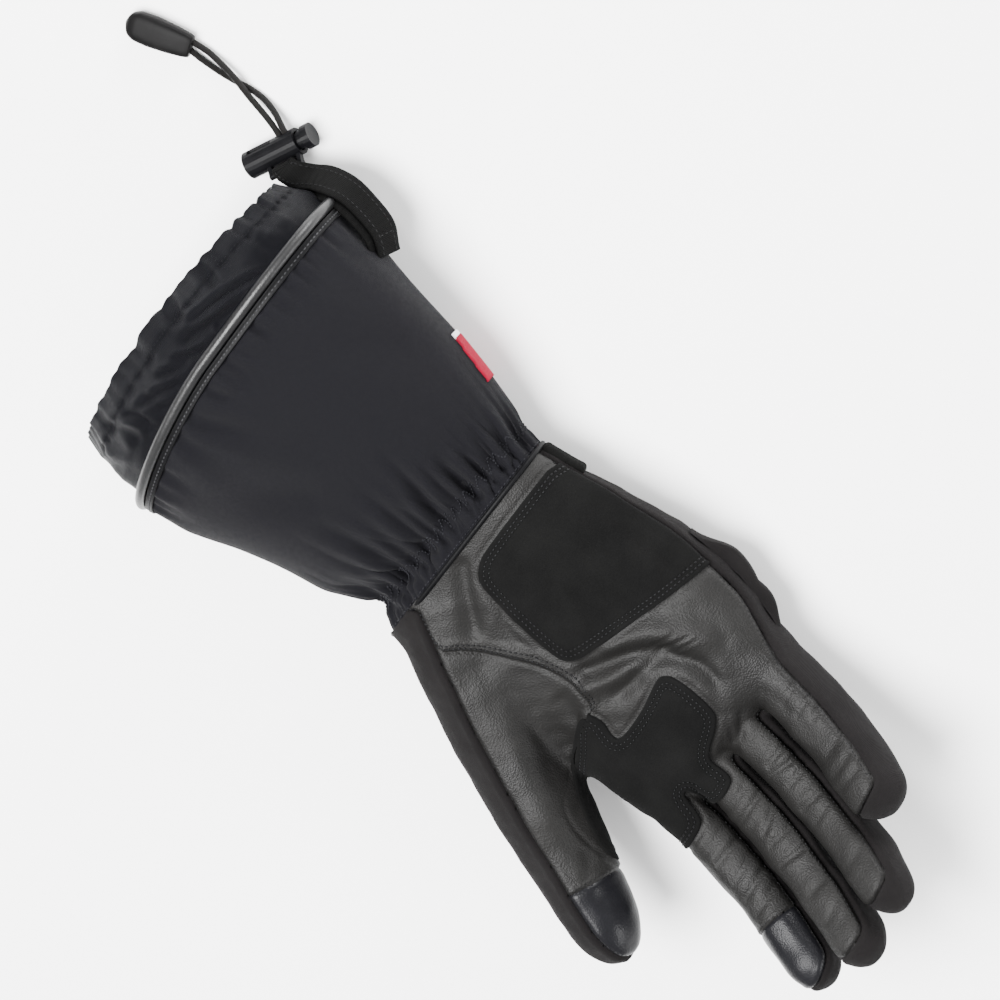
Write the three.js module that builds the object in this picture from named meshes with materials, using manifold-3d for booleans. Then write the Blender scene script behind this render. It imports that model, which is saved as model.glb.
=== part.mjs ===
// A heated gauntlet glove for the right hand, lying on its back with the palm up.
// Millimetres. X runs towards the thumb, Y towards the fingertips and Z up out of the palm.
// Everything is laid out from the wrist seam, and the finished group is moved to its origin at the end.
import * as THREE from "three";
import { mergeVertices } from "three/addons/utils/BufferGeometryUtils.js";
import Module from "manifold-3d";

// Sewn pieces keep this gap to each other
const GAP = 0.3;

// Hand of the glove, from the wrist seam to the finger roots
const PALM_LENGTH = 125;
const PALM_WIDTH = 101;
const PALM_DEPTH = 36;
const WRIST_WIDTH = 97;
const WRIST_DEPTH = 39;
const WRIST_HEIGHT = 24; // middle of the wrist above the floor
const HAND_WALL = 3; // leather or softshell with its padding
const FOLD_DEPTH = 0.9; // main folds of the palm leather

// Digits from root to tip: the middle finger and the thumb
const FINGER_LENGTH = 116;
const FINGER_WIDTH = 21.5;
const FINGER_DEPTH = 24;
const THUMB_LENGTH = 156;
const THUMB_WIDTH = 40;
const THUMB_DEPTH = 36;

// Gauntlet and the thin skirt past its hem
const GAUNTLET_LENGTH = 112;
const HEM_WIDTH = 141;
const HEM_DEPTH = 70;
const HEM_HEIGHT = 32.5; // middle of the hem above the floor
const HEM_SHIFT = -6.3; // the sleeve leans to the little-finger side
const HEM_SLANT = 11; // the hem is this much shorter on the thumb side
const GAUNTLET_WALL = 2.2;
const GATHER_DEPTH = 1.3; // folds drawn up by the wrist elastic
const SKIRT_LENGTH = 28;
const SKIRT_TUCK = 5; // length of skirt inside the gauntlet
const SKIRT_WALL = 1.2;
const SKIRT_DRAW = 5; // the mouth is drawn in by this much on each side
const SKIRT_END_CURVE = 6; // the mouth's sides fall back by this much
const SCALLOP_DEPTH = 1.5;
const PIPING_WIDTH = 4.2;

// Pieces laid on the shell
const PATCH_THICKNESS = 1.2;
const KNUCKLE_PAD_THICKNESS = 3.4;
const PAD_GROOVE_DEPTH = 1.1;
const PAD_GROOVE_WIDTH = 2;
const PAD_ROUND = 8;
const PATCH_ROUND = 6;
const STRAP_WIDTH = 18;
const STRAP_THICKNESS = 2.1;
const STRAP_LENGTH_SHARE = 0.2; // where the strap ends across the back, as a share of the palm width
const LABEL_THICKNESS = 0.7;

// Webbing loop that carries the cord lock
const WEBBING_WIDTH = 10;
const WEBBING_THICKNESS = 1.5;
const WEBBING_REACH = 25; // length sewn to the sleeve before the hem
const WEBBING_BOW = 5.8; // how far it stands out past the hem's side

// Cord lock: a barrel with a spring plunger across the two cords
const BARREL_LENGTH = 23;
const BARREL_RADIUS = 5.25;
const BORE_RADIUS = 3.9;
const BARREL_END_WALL = 2.4;
const BARREL_START_WALL = 2;
const PLUNGER_CLEARANCE = 0.3;
const PLUNGER_TRAVEL = 2.5;
const PLUNGER_HEAD_LENGTH = 3;
const PLUNGER_HEAD_RADIUS = 4.7;
const BRACKET_BAR_RADIUS = 1.2;
const LOCK_TURN = -25; // degrees, of the barrel's axis from X
const LOCK_INSET = 9.2; // from the hem's side to the middle of the lock
const LOCK_PAST_SKIRT = 4;
const LOCK_FLOOR_GAP = 0.2;

// Elastic cord and its end pull
const CORD_DIAMETER = 2.4;
const CORD_CLEARANCE = 0.4;
const PULL_LENGTH = 26.5;
const PULL_WIDTH = 12;
const PULL_THICKNESS = 7;

const BACK_CLEAR = KNUCKLE_PAD_THICKNESS + GAP; // room for the knuckle pad under the hand
const HEM_SIDE = HEM_SHIFT - HEM_WIDTH / 2; // the hem's little-finger side
const CUT_PAST = 1; // cutting bodies run this far past what they cut
const RIGHT_ANGLE = Math.PI / 2;
const DIGIT_SEGMENTS = 12;
const HAND_SEGMENTS = 24;
const SLEEVE_SEGMENTS = 48;
const GATHER_FOLDS = 12;
const FACET_TOLERANCE = 0.06; // flat facets may move by this much where they are joined

const wasm = await Module();
wasm.setup();

// Materials

function material(color, roughness, metalness = 0) {
  return new THREE.MeshStandardMaterial({ color, roughness, metalness });
}

const MATERIALS = {
  leather: material(0x2b2a29, 0.45),
  touchLeather: material(0x303033, 0.28),
  suede: material(0x232323, 0.9),
  softshell: material(0x27262b, 0.8),
  charcoal: material(0x343235, 0.8),
  skirt: material(0x25252b, 0.6),
  piping: material(0x555555, 0.4),
  webbing: material(0x1c1c1d, 0.85),
  plastic: material(0x1d1d20, 0.35),
  cord: material(0x2c2928, 0.7),
  rubber: material(0x2f2d2e, 0.5),
  label: material(0xe0395a, 0.6),
};

// Solids from loops of points

function solidOf(points, triangles) {
  const vertProperties = new Float32Array(points.flatMap((p) => [p.x, p.y, p.z]));
  const triVerts = new Uint32Array(triangles);
  const solid = new wasm.Manifold(new wasm.Mesh({ numProp: 3, vertProperties, triVerts }));
  if (solid.volume() > 0) return solid;
  for (let i = 0; i < triVerts.length; i += 3) {
    [triVerts[i + 1], triVerts[i + 2]] = [triVerts[i + 2], triVerts[i + 1]];
  }
  return new wasm.Manifold(new wasm.Mesh({ numProp: 3, vertProperties, triVerts }));
}

function joinLoops(a, b, count, triangles) {
  for (let i = 0; i < count; i++) {
    const next = (i + 1) % count;
    triangles.push(a + i, a + next, b + next, a + i, b + next, b + i);
  }
}

function middleOf(loop) {
  return loop.reduce((sum, p) => sum.add(p), new THREE.Vector3()).divideScalar(loop.length);
}

// A solid through closed loops, with its ends closed over the loops' middles or over a given tip.
function loft(loops, tip = middleOf(loops.at(-1))) {
  const count = loops[0].length;
  const triangles = [];
  loops.slice(1).forEach((_, k) => joinLoops(k * count, (k + 1) * count, count, triangles));
  const points = loops.flat();
  const start = points.push(middleOf(loops[0])) - 1;
  const end = points.push(tip) - 1;
  const last = (loops.length - 1) * count;
  for (let i = 0; i < count; i++) {
    const next = (i + 1) % count;
    triangles.push(start, next, i, end, last + i, last + next);
  }
  return solidOf(points, triangles);
}

// A ring: loops one after another, with the last joined to the first.
function ring(loops) {
  const count = loops[0].length;
  const triangles = [];
  loops.forEach((_, k) => {
    joinLoops(k * count, ((k + 1) % loops.length) * count, count, triangles);
  });
  return solidOf(loops.flat(), triangles);
}

// The wall of an open sleeve between its outer and inner loops.
function sleeveWall(outer, inner) {
  return ring([...outer, ...inner.toReversed()]);
}

function solidOfGeometry(geometry) {
  const bare = geometry.index ? geometry.toNonIndexed() : geometry.clone();
  bare.deleteAttribute("normal");
  bare.deleteAttribute("uv");
  const merged = mergeVertices(bare, 1e-4);
  const position = merged.getAttribute("position");
  const points = Array.from({ length: position.count }, (_, i) => {
    return new THREE.Vector3().fromBufferAttribute(position, i);
  });
  return solidOf(points, Array.from(merged.index.array));
}

function box(low, high) {
  const size = new THREE.Vector3().subVectors(high, low);
  const middle = new THREE.Vector3().addVectors(low, high).divideScalar(2);
  const geometry = new THREE.BoxGeometry(size.x, size.y, size.z);
  return solidOfGeometry(geometry.translate(middle.x, middle.y, middle.z));
}

// A cylinder along X between two places on its axis.
function rod(radius, from, to, y = 0, z = 0, segments = 24) {
  const geometry = new THREE.CylinderGeometry(radius, radius, to - from, segments);
  geometry.rotateZ(RIGHT_ANGLE).translate((from + to) / 2, y, z);
  return solidOfGeometry(geometry);
}

// A plate of a flat outline of [x, y] points, rounded at its corners, from one height to another.
function prism(outline, round, low, high) {
  const corners = outline.map(([x, y]) => new THREE.Vector2(x, y));
  const shape = new THREE.Shape();
  corners.forEach((corner, i) => {
    const before = corners.at(i - 1);
    const after = corners[(i + 1) % corners.length];
    const reachIn = Math.min(round, corner.distanceTo(before) * 0.45);
    const reachOut = Math.min(round, corner.distanceTo(after) * 0.45);
    const start = corner.clone().lerp(before, reachIn / corner.distanceTo(before));
    const end = corner.clone().lerp(after, reachOut / corner.distanceTo(after));
    if (i === 0) shape.moveTo(start.x, start.y);
    else shape.lineTo(start.x, start.y);
    shape.quadraticCurveTo(corner.x, corner.y, end.x, end.y);
  });
  const geometry = new THREE.ExtrudeGeometry(shape, {
    depth: high - low,
    bevelEnabled: false,
    curveSegments: 4,
  });
  return solidOfGeometry(geometry.translate(0, 0, low));
}

function meshOf(name, solid, look) {
  const made = solid.simplify(FACET_TOLERANCE).getMesh();
  const geometry = new THREE.BufferGeometry();
  geometry.setAttribute("position", new THREE.BufferAttribute(made.vertProperties.slice(), 3));
  geometry.setIndex(new THREE.BufferAttribute(made.triVerts.slice(), 1));
  geometry.computeVertexNormals();
  const mesh = new THREE.Mesh(geometry, MATERIALS[look]);
  mesh.name = name;
  return mesh;
}

function union(solids) {
  return solids.reduce((sum, solid) => sum.add(solid));
}

// The largest body of a solid, where a cut leaves crumbs.
function mainBody(solid) {
  return solid.decompose().sort((a, b) => b.volume() - a.volume())[0];
}

// Rounded sections

function roundedPoint(angle, a, b, power) {
  const c = Math.cos(angle);
  const s = Math.sin(angle);
  return [
    a * Math.sign(c) * Math.abs(c) ** (2 / power),
    b * Math.sign(s) * Math.abs(s) ** (2 / power),
  ];
}

// One loop across Y. A section that reaches the floor is flattened there.
function flatLoop({ y, x, z, half, deep, power, floor, segments }, grow, ripple, shiftY) {
  return Array.from({ length: segments }, (_, i) => {
    const angle = (2 * Math.PI * i) / segments;
    const extra = grow + ripple(angle);
    const [u, v] = roundedPoint(angle, half + extra, deep + extra, power);
    const px = x + u;
    return new THREE.Vector3(px, y + shiftY(px, angle), Math.max(z + v, floor - grow));
  });
}

const noRipple = () => 0;
const noShift = () => 0;

// Hand body: along is a share of the palm length, centre and half of the palm width,
// height and deep of the palm depth, all above the room for the knuckle pad.
const HAND_SECTIONS = [
  { along: 0.112, centre: -0.01, half: 0.49, height: 0.564, deep: 0.528 },
  { along: 0.256, centre: -0.03, half: 0.505, height: 0.525, deep: 0.53 },
  { along: 0.48, centre: -0.062, half: 0.515, height: 0.5, deep: 0.535 },
  { along: 0.56, centre: -0.062, half: 0.51, height: 0.485, deep: 0.53 },
  { along: 0.62, centre: -0.06, half: 0.51, height: 0.495, deep: 0.54 },
  { along: 0.7, centre: -0.056, half: 0.505, height: 0.49, deep: 0.53 },
  { along: 0.824, centre: -0.04, half: 0.478, height: 0.522, deep: 0.5 },
  { along: 0.912, centre: -0.025, half: 0.452, height: 0.53, deep: 0.45 },
  { along: 0.968, centre: -0.022, half: 0.42, height: 0.54, deep: 0.35 },
  { along: 1, centre: -0.022, half: 0.335, height: 0.547, deep: 0.17 },
];
const HAND_POWER = 2.5;

const wristSection = {
  y: 0,
  x: 0,
  z: WRIST_HEIGHT,
  half: WRIST_WIDTH / 2,
  deep: WRIST_DEPTH / 2,
  power: HAND_POWER,
};

function handSection(row) {
  return {
    y: row.along * PALM_LENGTH,
    x: row.centre * PALM_WIDTH,
    z: BACK_CLEAR + row.height * PALM_DEPTH,
    half: row.half * PALM_WIDTH,
    deep: row.deep * PALM_DEPTH,
    power: HAND_POWER,
    floor: BACK_CLEAR,
    segments: HAND_SEGMENTS,
  };
}

// The body grown outwards, or inwards where grow is negative. Its wrist end starts at startY.
function handBody(grow, startY) {
  const wrist = { ...wristSection, y: startY, floor: BACK_CLEAR, segments: HAND_SEGMENTS };
  const sections = [wrist, ...HAND_SECTIONS.map(handSection)];
  const loops = sections.map((section, i) => {
    const last = i === sections.length - 1;
    const shift = last ? grow : 0;
    return flatLoop({ ...section, y: section.y + shift }, grow, noRipple, noShift);
  });
  return loft(loops);
}

// Digits: across and along place the root in the palm, height is its middle, turn and rise are
// the way that it points at its root and tip, roll turns its pad, in degrees.
const DIGITS = {
  index: {
    across: 0.306, along: 0.856, height: 0.51,
    length: 0.922 * FINGER_LENGTH, width: FINGER_WIDTH, depth: FINGER_DEPTH,
    turn: [2, 6], rise: [2, 34], roll: 4, seam: [0.3, -0.35],
  },
  middle: {
    across: 0.091, along: 0.856, height: 0.515,
    length: FINGER_LENGTH, width: FINGER_WIDTH, depth: FINGER_DEPTH,
    turn: [0.5, 3], rise: [2, 43], roll: 2, seam: [0.3, 0.3],
  },
  ring: {
    across: -0.122, along: 0.856, height: 0.51,
    length: 0.948 * FINGER_LENGTH, width: FINGER_WIDTH, depth: FINGER_DEPTH,
    turn: [-0.5, 1], rise: [2, 44], roll: -2, seam: [0.3, 0.3],
  },
  little: {
    across: -0.36, along: 0.8, height: 0.49,
    length: 0.776 * FINGER_LENGTH, width: 1.135 * FINGER_WIDTH, depth: 1.083 * FINGER_DEPTH,
    turn: [-1, 2], rise: [2, 43], roll: -8, seam: [0.3, 0.3],
  },
  thumb: {
    across: 0.25, along: 0.04, height: 0.578,
    length: THUMB_LENGTH, width: THUMB_WIDTH, depth: THUMB_DEPTH,
    turn: [31, 17.5], rise: [0, 16], roll: 62, seam: [-0.1, 0.45],
  },
};

// A finger's width and depth along it, as shares of its own, with dents at its two joints.
const FINGER_PROFILE = [
  { along: 0, width: 0.97, depth: 1 },
  { along: 0.2, width: 0.97, depth: 1 },
  { along: 0.36, width: 0.97, depth: 0.95 },
  { along: 0.46, width: 1, depth: 0.98 },
  { along: 0.6, width: 0.96, depth: 0.92 },
  { along: 0.72, width: 0.98, depth: 0.93 },
  { along: 0.84, width: 0.94, depth: 0.86 },
  { along: 0.92, width: 0.83, depth: 0.74 },
  { along: 0.97, width: 0.58, depth: 0.52 },
  { along: 0.992, width: 0.3, depth: 0.27 },
];
const THUMB_PROFILE = [
  { along: 0, width: 0.95, depth: 0.9 },
  { along: 0.14, width: 1.05, depth: 1 },
  { along: 0.3, width: 1.04, depth: 1.02 },
  { along: 0.45, width: 0.99, depth: 0.99 },
  { along: 0.6, width: 0.9, depth: 0.92 },
  { along: 0.72, width: 0.8, depth: 0.84 },
  { along: 0.82, width: 0.72, depth: 0.77 },
  { along: 0.91, width: 0.63, depth: 0.69 },
  { along: 0.965, width: 0.46, depth: 0.5 },
  { along: 0.992, width: 0.23, depth: 0.25 },
];
const DIGIT_POWER = 2.35;
const TIP_HALF = 0.5; // no section of a hollow is smaller than this
const CENTRELINE_STEPS = 60;

function digitFrame(digit, share) {
  const turn = THREE.MathUtils.degToRad(THREE.MathUtils.lerp(...digit.turn, share));
  const rise = THREE.MathUtils.degToRad(THREE.MathUtils.lerp(...digit.rise, share));
  const roll = THREE.MathUtils.degToRad(digit.roll);
  const along = new THREE.Vector3(
    Math.sin(turn) * Math.cos(rise),
    Math.cos(turn) * Math.cos(rise),
    Math.sin(rise),
  );
  const level = new THREE.Vector3(Math.cos(turn), -Math.sin(turn), 0);
  const side = level.clone().applyAxisAngle(along, -roll);
  return { along, side, pad: new THREE.Vector3().crossVectors(side, along) };
}

function digitPoint(digit, share) {
  const point = new THREE.Vector3(
    digit.across * PALM_WIDTH,
    digit.along * PALM_LENGTH,
    BACK_CLEAR + digit.height * PALM_DEPTH,
  );
  const steps = Math.max(1, Math.round(CENTRELINE_STEPS * share));
  for (let k = 0; k < steps; k++) {
    const { along } = digitFrame(digit, (share * (k + 0.5)) / steps);
    point.addScaledVector(along, (digit.length * share) / steps);
  }
  return point;
}

function digitSolid(digit, profile, grow) {
  const tipGrow = grow / digit.length;
  const loops = profile.map((row, k) => {
    const share = k ? row.along * (1 + tipGrow) : 0;
    const { side, pad } = digitFrame(digit, row.along);
    const middle = digitPoint(digit, share);
    const half = Math.max((row.width * digit.width) / 2 + grow, TIP_HALF);
    const deep = Math.max((row.depth * digit.depth) / 2 + grow, TIP_HALF);
    return Array.from({ length: DIGIT_SEGMENTS }, (_, i) => {
      const angle = (2 * Math.PI * i) / DIGIT_SEGMENTS;
      const [u, v] = roundedPoint(angle, half, deep, DIGIT_POWER);
      return middle.clone().addScaledVector(side, u).addScaledVector(pad, v);
    });
  });
  return loft(loops, digitPoint(digit, 1 + tipGrow));
}

// The space on the pad side of a digit's side seams, moved up by lift.
function padSide(digit, lift) {
  const reach = digit.width;
  const shares = [-0.02, 0.15, 0.3, 0.45, 0.6, 0.75, 0.9, 1.1];
  const loops = shares.map((share) => {
    const { side, pad } = digitFrame(digit, share);
    const middle = digitPoint(digit, Math.max(share, 0));
    const [low, high] = digit.seam.map((s) => (s * digit.depth) / 2 + lift);
    const edge = (high - low) * 0.5;
    return [
      [-reach, low - edge],
      [reach, high + edge],
      [reach, reach * 1.6],
      [-reach, reach * 1.6],
    ].map(([u, v]) => middle.clone().addScaledVector(side, u).addScaledVector(pad, v));
  });
  return loft(loops);
}

// The space past a share of a digit's length.
function pastShare(digit, share) {
  const { along, side, pad } = digitFrame(digit, share);
  const middle = digitPoint(digit, share);
  const reach = digit.width * 1.5;
  const loops = [0, reach].map((far) =>
    [
      [-reach, -reach],
      [reach, -reach],
      [reach, reach],
      [-reach, reach],
    ].map(([u, v]) => {
      const point = middle.clone().addScaledVector(along, far);
      return point.addScaledVector(side, u).addScaledVector(pad, v);
    }),
  );
  return loft(loops);
}

// Hand shell: a leather palm and a softshell back, open at the wrist and at each digit's root.
// The seam between them runs higher on the thumb side of the wrist.
const PALM_SEAM = [
  { along: -0.1, little: 0.58, thumb: 1.12 },
  { along: 0.16, little: 0.62, thumb: 1.1 },
  { along: 0.48, little: 0.66, thumb: 0.74 },
  { along: 0.8, little: 0.66, thumb: 0.43 },
  { along: 1.1, little: 0.66, thumb: 0.43 },
];

function palmSide(lift) {
  const reach = PALM_WIDTH / 2;
  const loops = PALM_SEAM.map((row) => {
    const y = row.along * PALM_LENGTH;
    const slope = (row.thumb - row.little) * PALM_DEPTH;
    const low = BACK_CLEAR + row.little * PALM_DEPTH + lift;
    return [
      [-2 * reach, low - slope / 2],
      [2 * reach, low + slope * 1.5],
      [2 * reach, PALM_DEPTH * 4],
      [-2 * reach, PALM_DEPTH * 4],
    ].map(([x, z]) => new THREE.Vector3(x, y, z));
  });
  return loft(loops);
}

// Main folds of the palm leather: lines of [x, y] shares of the palm width and length, each with
// its greatest width as a share of the palm width.
const PALM_FOLDS = [
  { line: [[0.05, 0.5], [-0.05, 0.56], [-0.14, 0.6], [-0.25, 0.68]], width: 0.045 },
  { line: [[0.09, 0.655], [-0.08, 0.64], [-0.2, 0.68], [-0.265, 0.77], [-0.24, 0.88]], width: 0.05 },
  { line: [[-0.02, 0.02], [0.08, 0.07], [0.13, 0.16], [0.14, 0.26]], width: 0.04 },
];

function outlineOf(shares) {
  return shares.map(([x, y]) => [x * PALM_WIDTH, y * PALM_LENGTH]);
}

// A fold seen from above: both sides of its line, meeting at its ends.
function foldOutline({ line, width }) {
  const points = outlineOf(line).map(([x, y]) => new THREE.Vector2(x, y));
  const half = (width * PALM_WIDTH) / 2;
  const sides = [half, -half].map((reach) =>
    points.slice(1, -1).map((point, i) => {
      const run = new THREE.Vector2().subVectors(points[i + 2], points[i]).normalize();
      return [point.x - reach * run.y, point.y + reach * run.x];
    }),
  );
  const [start, end] = [points[0], points.at(-1)].map(({ x, y }) => [x, y]);
  return [start, ...sides[0], end, ...sides[1].toReversed()];
}

function palmFolds() {
  const lines = PALM_FOLDS.map((fold) => {
    return prism(foldOutline(fold), fold.width * PALM_WIDTH, seamHeight, PALM_DEPTH * 3);
  });
  const [over, under] = [CUT_PAST, -FOLD_DEPTH].map((grow) => handBody(grow, wristStart - CUT_PAST));
  return over.subtract(under).intersect(union(lines));
}

const profileOf = (name) => (name === "thumb" ? THUMB_PROFILE : FINGER_PROFILE);
const digitNames = Object.keys(DIGITS);
const digitSkin = (name, grow) => digitSolid(DIGITS[name], profileOf(name), grow);

const wristStart = GAP / 2;
const handOuter = handBody(0, wristStart);
const digitHollows = union(digitNames.map((name) => digitSkin(name, -HAND_WALL)));
const handHollow = handBody(-HAND_WALL, wristStart - CUT_PAST);
const handShell = handOuter.subtract(handHollow).subtract(digitHollows);
const seamHeight = BACK_CLEAR + 0.68 * PALM_DEPTH;
const palmPanel = mainBody(handShell.intersect(palmSide(GAP / 2)).subtract(palmFolds()));
const backPanel = mainBody(handShell.subtract(palmSide(-GAP / 2)));

// Digit shells: a leather front, with a touch cap on two tips, and a softshell back.
const TOUCH_TIPS = { index: 0.72, thumb: 0.82 };

function digitPieces(name) {
  const digit = DIGITS[name];
  const reach = 2 * PALM_WIDTH;
  const wristSide = box(
    new THREE.Vector3(-reach, -reach, -reach),
    new THREE.Vector3(reach, wristStart, reach),
  );
  const shell = digitSkin(name, 0)
    .subtract(digitSkin(name, -HAND_WALL))
    .subtract(handBody(GAP, wristStart - GAP))
    .subtract(handHollow)
    .subtract(wristSide);
  const front = mainBody(shell.intersect(padSide(digit, GAP / 2)));
  const back = mainBody(shell.subtract(padSide(digit, -GAP / 2)));
  const pieces = [[name + "_back", back, "charcoal"]];
  const capStart = TOUCH_TIPS[name];
  if (capStart) {
    const halfGap = GAP / 2 / digit.length;
    const leather = mainBody(front.subtract(pastShare(digit, capStart - halfGap)));
    const cap = mainBody(front.intersect(pastShare(digit, capStart + halfGap)));
    pieces.push([name + "_front", leather, "leather"], [name + "_touch_cap", cap, "touchLeather"]);
  } else {
    pieces.push([name + "_front", front, "leather"]);
  }
  return pieces;
}

// Patches on the palm side: outlines as shares of the palm width and length.
const HEEL_PATCH = [
  [-0.6, 0.07], [-0.03, 0.07], [0.045, 0.12], [0.062, 0.44], [0.0, 0.5], [-0.42, 0.575], [-0.6, 0.61],
];
const GRIP_PATCH = [
  [-0.12, 0.7], [-0.175, 0.75], [-0.165, 0.88], [-0.09, 0.925], [-0.04, 0.965], [0.01, 0.96],
  [0.01, 1.04], [0.16, 1.05], [0.2, 0.965], [0.235, 1.06], [0.6, 1.08], [0.6, 0.62], [0.26, 0.62],
  [0.17, 0.66], [0.165, 0.735], [0.04, 0.72],
];
// A layer laid over the hand and the roots of the named digits.
function layer(thickness, names) {
  const shapes = (grow) => union([handBody(grow, wristStart), ...names.map((n) => digitSkin(n, grow))]);
  return shapes(GAP + thickness).subtract(shapes(GAP));
}

function patch(outline, names, lowest, clearOf) {
  const cover = prism(outlineOf(outline), PATCH_ROUND, lowest, PALM_DEPTH * 3);
  const others = clearOf.map((name) => digitSkin(name, GAP));
  const laid = layer(PATCH_THICKNESS, names).intersect(cover);
  return mainBody(others.reduce((left, solid) => left.subtract(solid), laid));
}

const heelPatch = patch(HEEL_PATCH, [], seamHeight, ["thumb"]);
const gripPatch = patch(GRIP_PATCH, ["index", "middle"], BACK_CLEAR + 0.45 * PALM_DEPTH, [
  "thumb",
  "ring",
]);

// Back of the hand: a ribbed knuckle pad and a wrist strap.
const PAD_OUTLINE = [
  [-0.7, 0.5], [0.38, 0.5], [0.4, 0.82], [-0.7, 0.86],
];
const PAD_GROOVES = 4;

function knucklePad() {
  const cover = prism(outlineOf(PAD_OUTLINE), PAD_ROUND, -CUT_PAST, BACK_CLEAR + 0.5 * PALM_DEPTH);
  const deep = (PALM_WIDTH * 1.5) / 2;
  const spacing = (PALM_LENGTH * 0.3) / (PAD_GROOVES + 1);
  const grooveTool = handBody(GAP + KNUCKLE_PAD_THICKNESS + CUT_PAST, wristStart).subtract(
    handBody(GAP + KNUCKLE_PAD_THICKNESS - PAD_GROOVE_DEPTH, wristStart),
  );
  const grooves = Array.from({ length: PAD_GROOVES }, (_, i) => {
    const y = PALM_LENGTH * 0.5 + spacing * (i + 1);
    const low = new THREE.Vector3(-deep, y - PAD_GROOVE_WIDTH / 2, -PALM_DEPTH);
    return box(low, new THREE.Vector3(deep, y + PAD_GROOVE_WIDTH / 2, PALM_DEPTH));
  });
  const pad = layer(KNUCKLE_PAD_THICKNESS, []).intersect(cover);
  return mainBody(pad.subtract(grooveTool.intersect(union(grooves))));
}

function wristStrap() {
  const low = new THREE.Vector3(-PALM_WIDTH, wristStart + GAP, -PALM_DEPTH);
  const high = new THREE.Vector3(PALM_WIDTH * STRAP_LENGTH_SHARE, STRAP_WIDTH, WRIST_HEIGHT);
  return mainBody(layer(STRAP_THICKNESS, []).intersect(box(low, high)));
}

// Gauntlet: flare runs from the wrist size, 0, to the hem size, 1, and gather is a share of
// the depth of the folds that the wrist elastic draws up.
const SLEEVE_SECTIONS = [
  { along: 0, flare: 0, lean: 0, gather: 0, slant: 0 },
  { along: 0.04, flare: -0.05, lean: 0.25, gather: 0.7, slant: 0 },
  { along: 0.09, flare: -0.12, lean: 0.75, gather: 1, slant: 0 },
  { along: 0.16, flare: 0.05, lean: 0.75, gather: 0.85, slant: 0 },
  { along: 0.27, flare: 0.3, lean: 0.7, gather: 0.5, slant: 0.05 },
  { along: 0.42, flare: 0.47, lean: 0.9, gather: 0.25, slant: 0.15 },
  { along: 0.62, flare: 0.66, lean: 1, gather: 0.1, slant: 0.4 },
  { along: 0.82, flare: 0.9, lean: 1, gather: 0, slant: 0.75 },
  { along: 1, flare: 1, lean: 1, gather: 0, slant: 1 },
];
const SLEEVE_POWER = 2.4;

function hemSlant(x) {
  const share = THREE.MathUtils.clamp((x + 0.1 * HEM_WIDTH) / (0.56 * HEM_WIDTH), 0, 1);
  return HEM_SLANT * share ** 1.6;
}

function sleeveSection(row) {
  const mix = (wrist, hem) => THREE.MathUtils.lerp(wrist, hem, row.flare);
  return {
    y: -GAP / 2 - row.along * (GAUNTLET_LENGTH - GAP / 2),
    x: row.lean * HEM_SHIFT,
    z: mix(WRIST_HEIGHT, HEM_HEIGHT),
    half: mix(WRIST_WIDTH, HEM_WIDTH) / 2,
    deep: mix(WRIST_DEPTH, HEM_DEPTH) / 2,
    power: SLEEVE_POWER,
    floor: 0,
    segments: SLEEVE_SEGMENTS,
  };
}

function sleeveLoops(grow) {
  return SLEEVE_SECTIONS.map((row) => {
    const ripple = (angle) => row.gather * GATHER_DEPTH * Math.cos(GATHER_FOLDS * angle);
    return flatLoop(sleeveSection(row), grow, ripple, (x) => row.slant * hemSlant(x));
  });
}

const gauntlet = sleeveWall(sleeveLoops(0), sleeveLoops(-GAUNTLET_WALL));

// Skirt: past is a share of its length past the hem, draw of how far it is drawn in, scallop of
// its scallops' depth, and rest is its height above the floor as a share of the piping.
const SKIRT_SECTIONS = [
  { past: 0, draw: 0, scallop: 0, rest: 1 },
  { past: 0.25, draw: 0.08, scallop: 0, rest: 1 },
  { past: 0.75, draw: 0.52, scallop: 0.4, rest: 0.5 },
  { past: 1, draw: 1, scallop: 1, rest: 0.2 },
];
const SCALLOPS = 16;
const SCALLOP_RIPPLE = 0.8; // how far each scallop stands out, as a share of its depth

function skirtLoops(grow) {
  const hem = sleeveSection(SLEEVE_SECTIONS.at(-1));
  const inside = -GAUNTLET_WALL - GAP;
  const [before, after] = SLEEVE_SECTIONS.slice(-2);
  const tuck = 1 - SKIRT_TUCK / GAUNTLET_LENGTH;
  const share = (tuck - before.along) / (after.along - before.along);
  const mix = (key) => THREE.MathUtils.lerp(before[key], after[key], share);
  const tuckRow = { along: tuck, flare: mix("flare"), lean: mix("lean") };
  const tuckShift = (x) => mix("slant") * hemSlant(x);
  const tucked = flatLoop(sleeveSection(tuckRow), inside + grow, noRipple, tuckShift);
  const rest = SKIRT_SECTIONS.map((row) => {
    const y = hem.y - row.past * SKIRT_LENGTH;
    const wave = (angle) => row.scallop * SCALLOP_DEPTH * Math.cos(SCALLOPS * angle);
    const ripple = (angle) => SCALLOP_RIPPLE * wave(angle);
    const shift = (x, angle) => {
      const sideways = (x - hem.x) / hem.half;
      return (1 - row.past) * hemSlant(x) + row.past * SKIRT_END_CURVE * sideways ** 2 - wave(angle);
    };
    const drawn = inside - row.draw * SKIRT_DRAW;
    const floor = row.rest * PIPING_WIDTH + GAP + drawn;
    return flatLoop({ ...hem, y, floor }, drawn + grow, ripple, shift);
  });
  return [tucked, ...rest];
}

const skirt = sleeveWall(skirtLoops(0), skirtLoops(-SKIRT_WALL));

// Piping: a round cord covered in leather, along the gauntlet's edge.
const PIPING_SIDES = 6;

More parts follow.
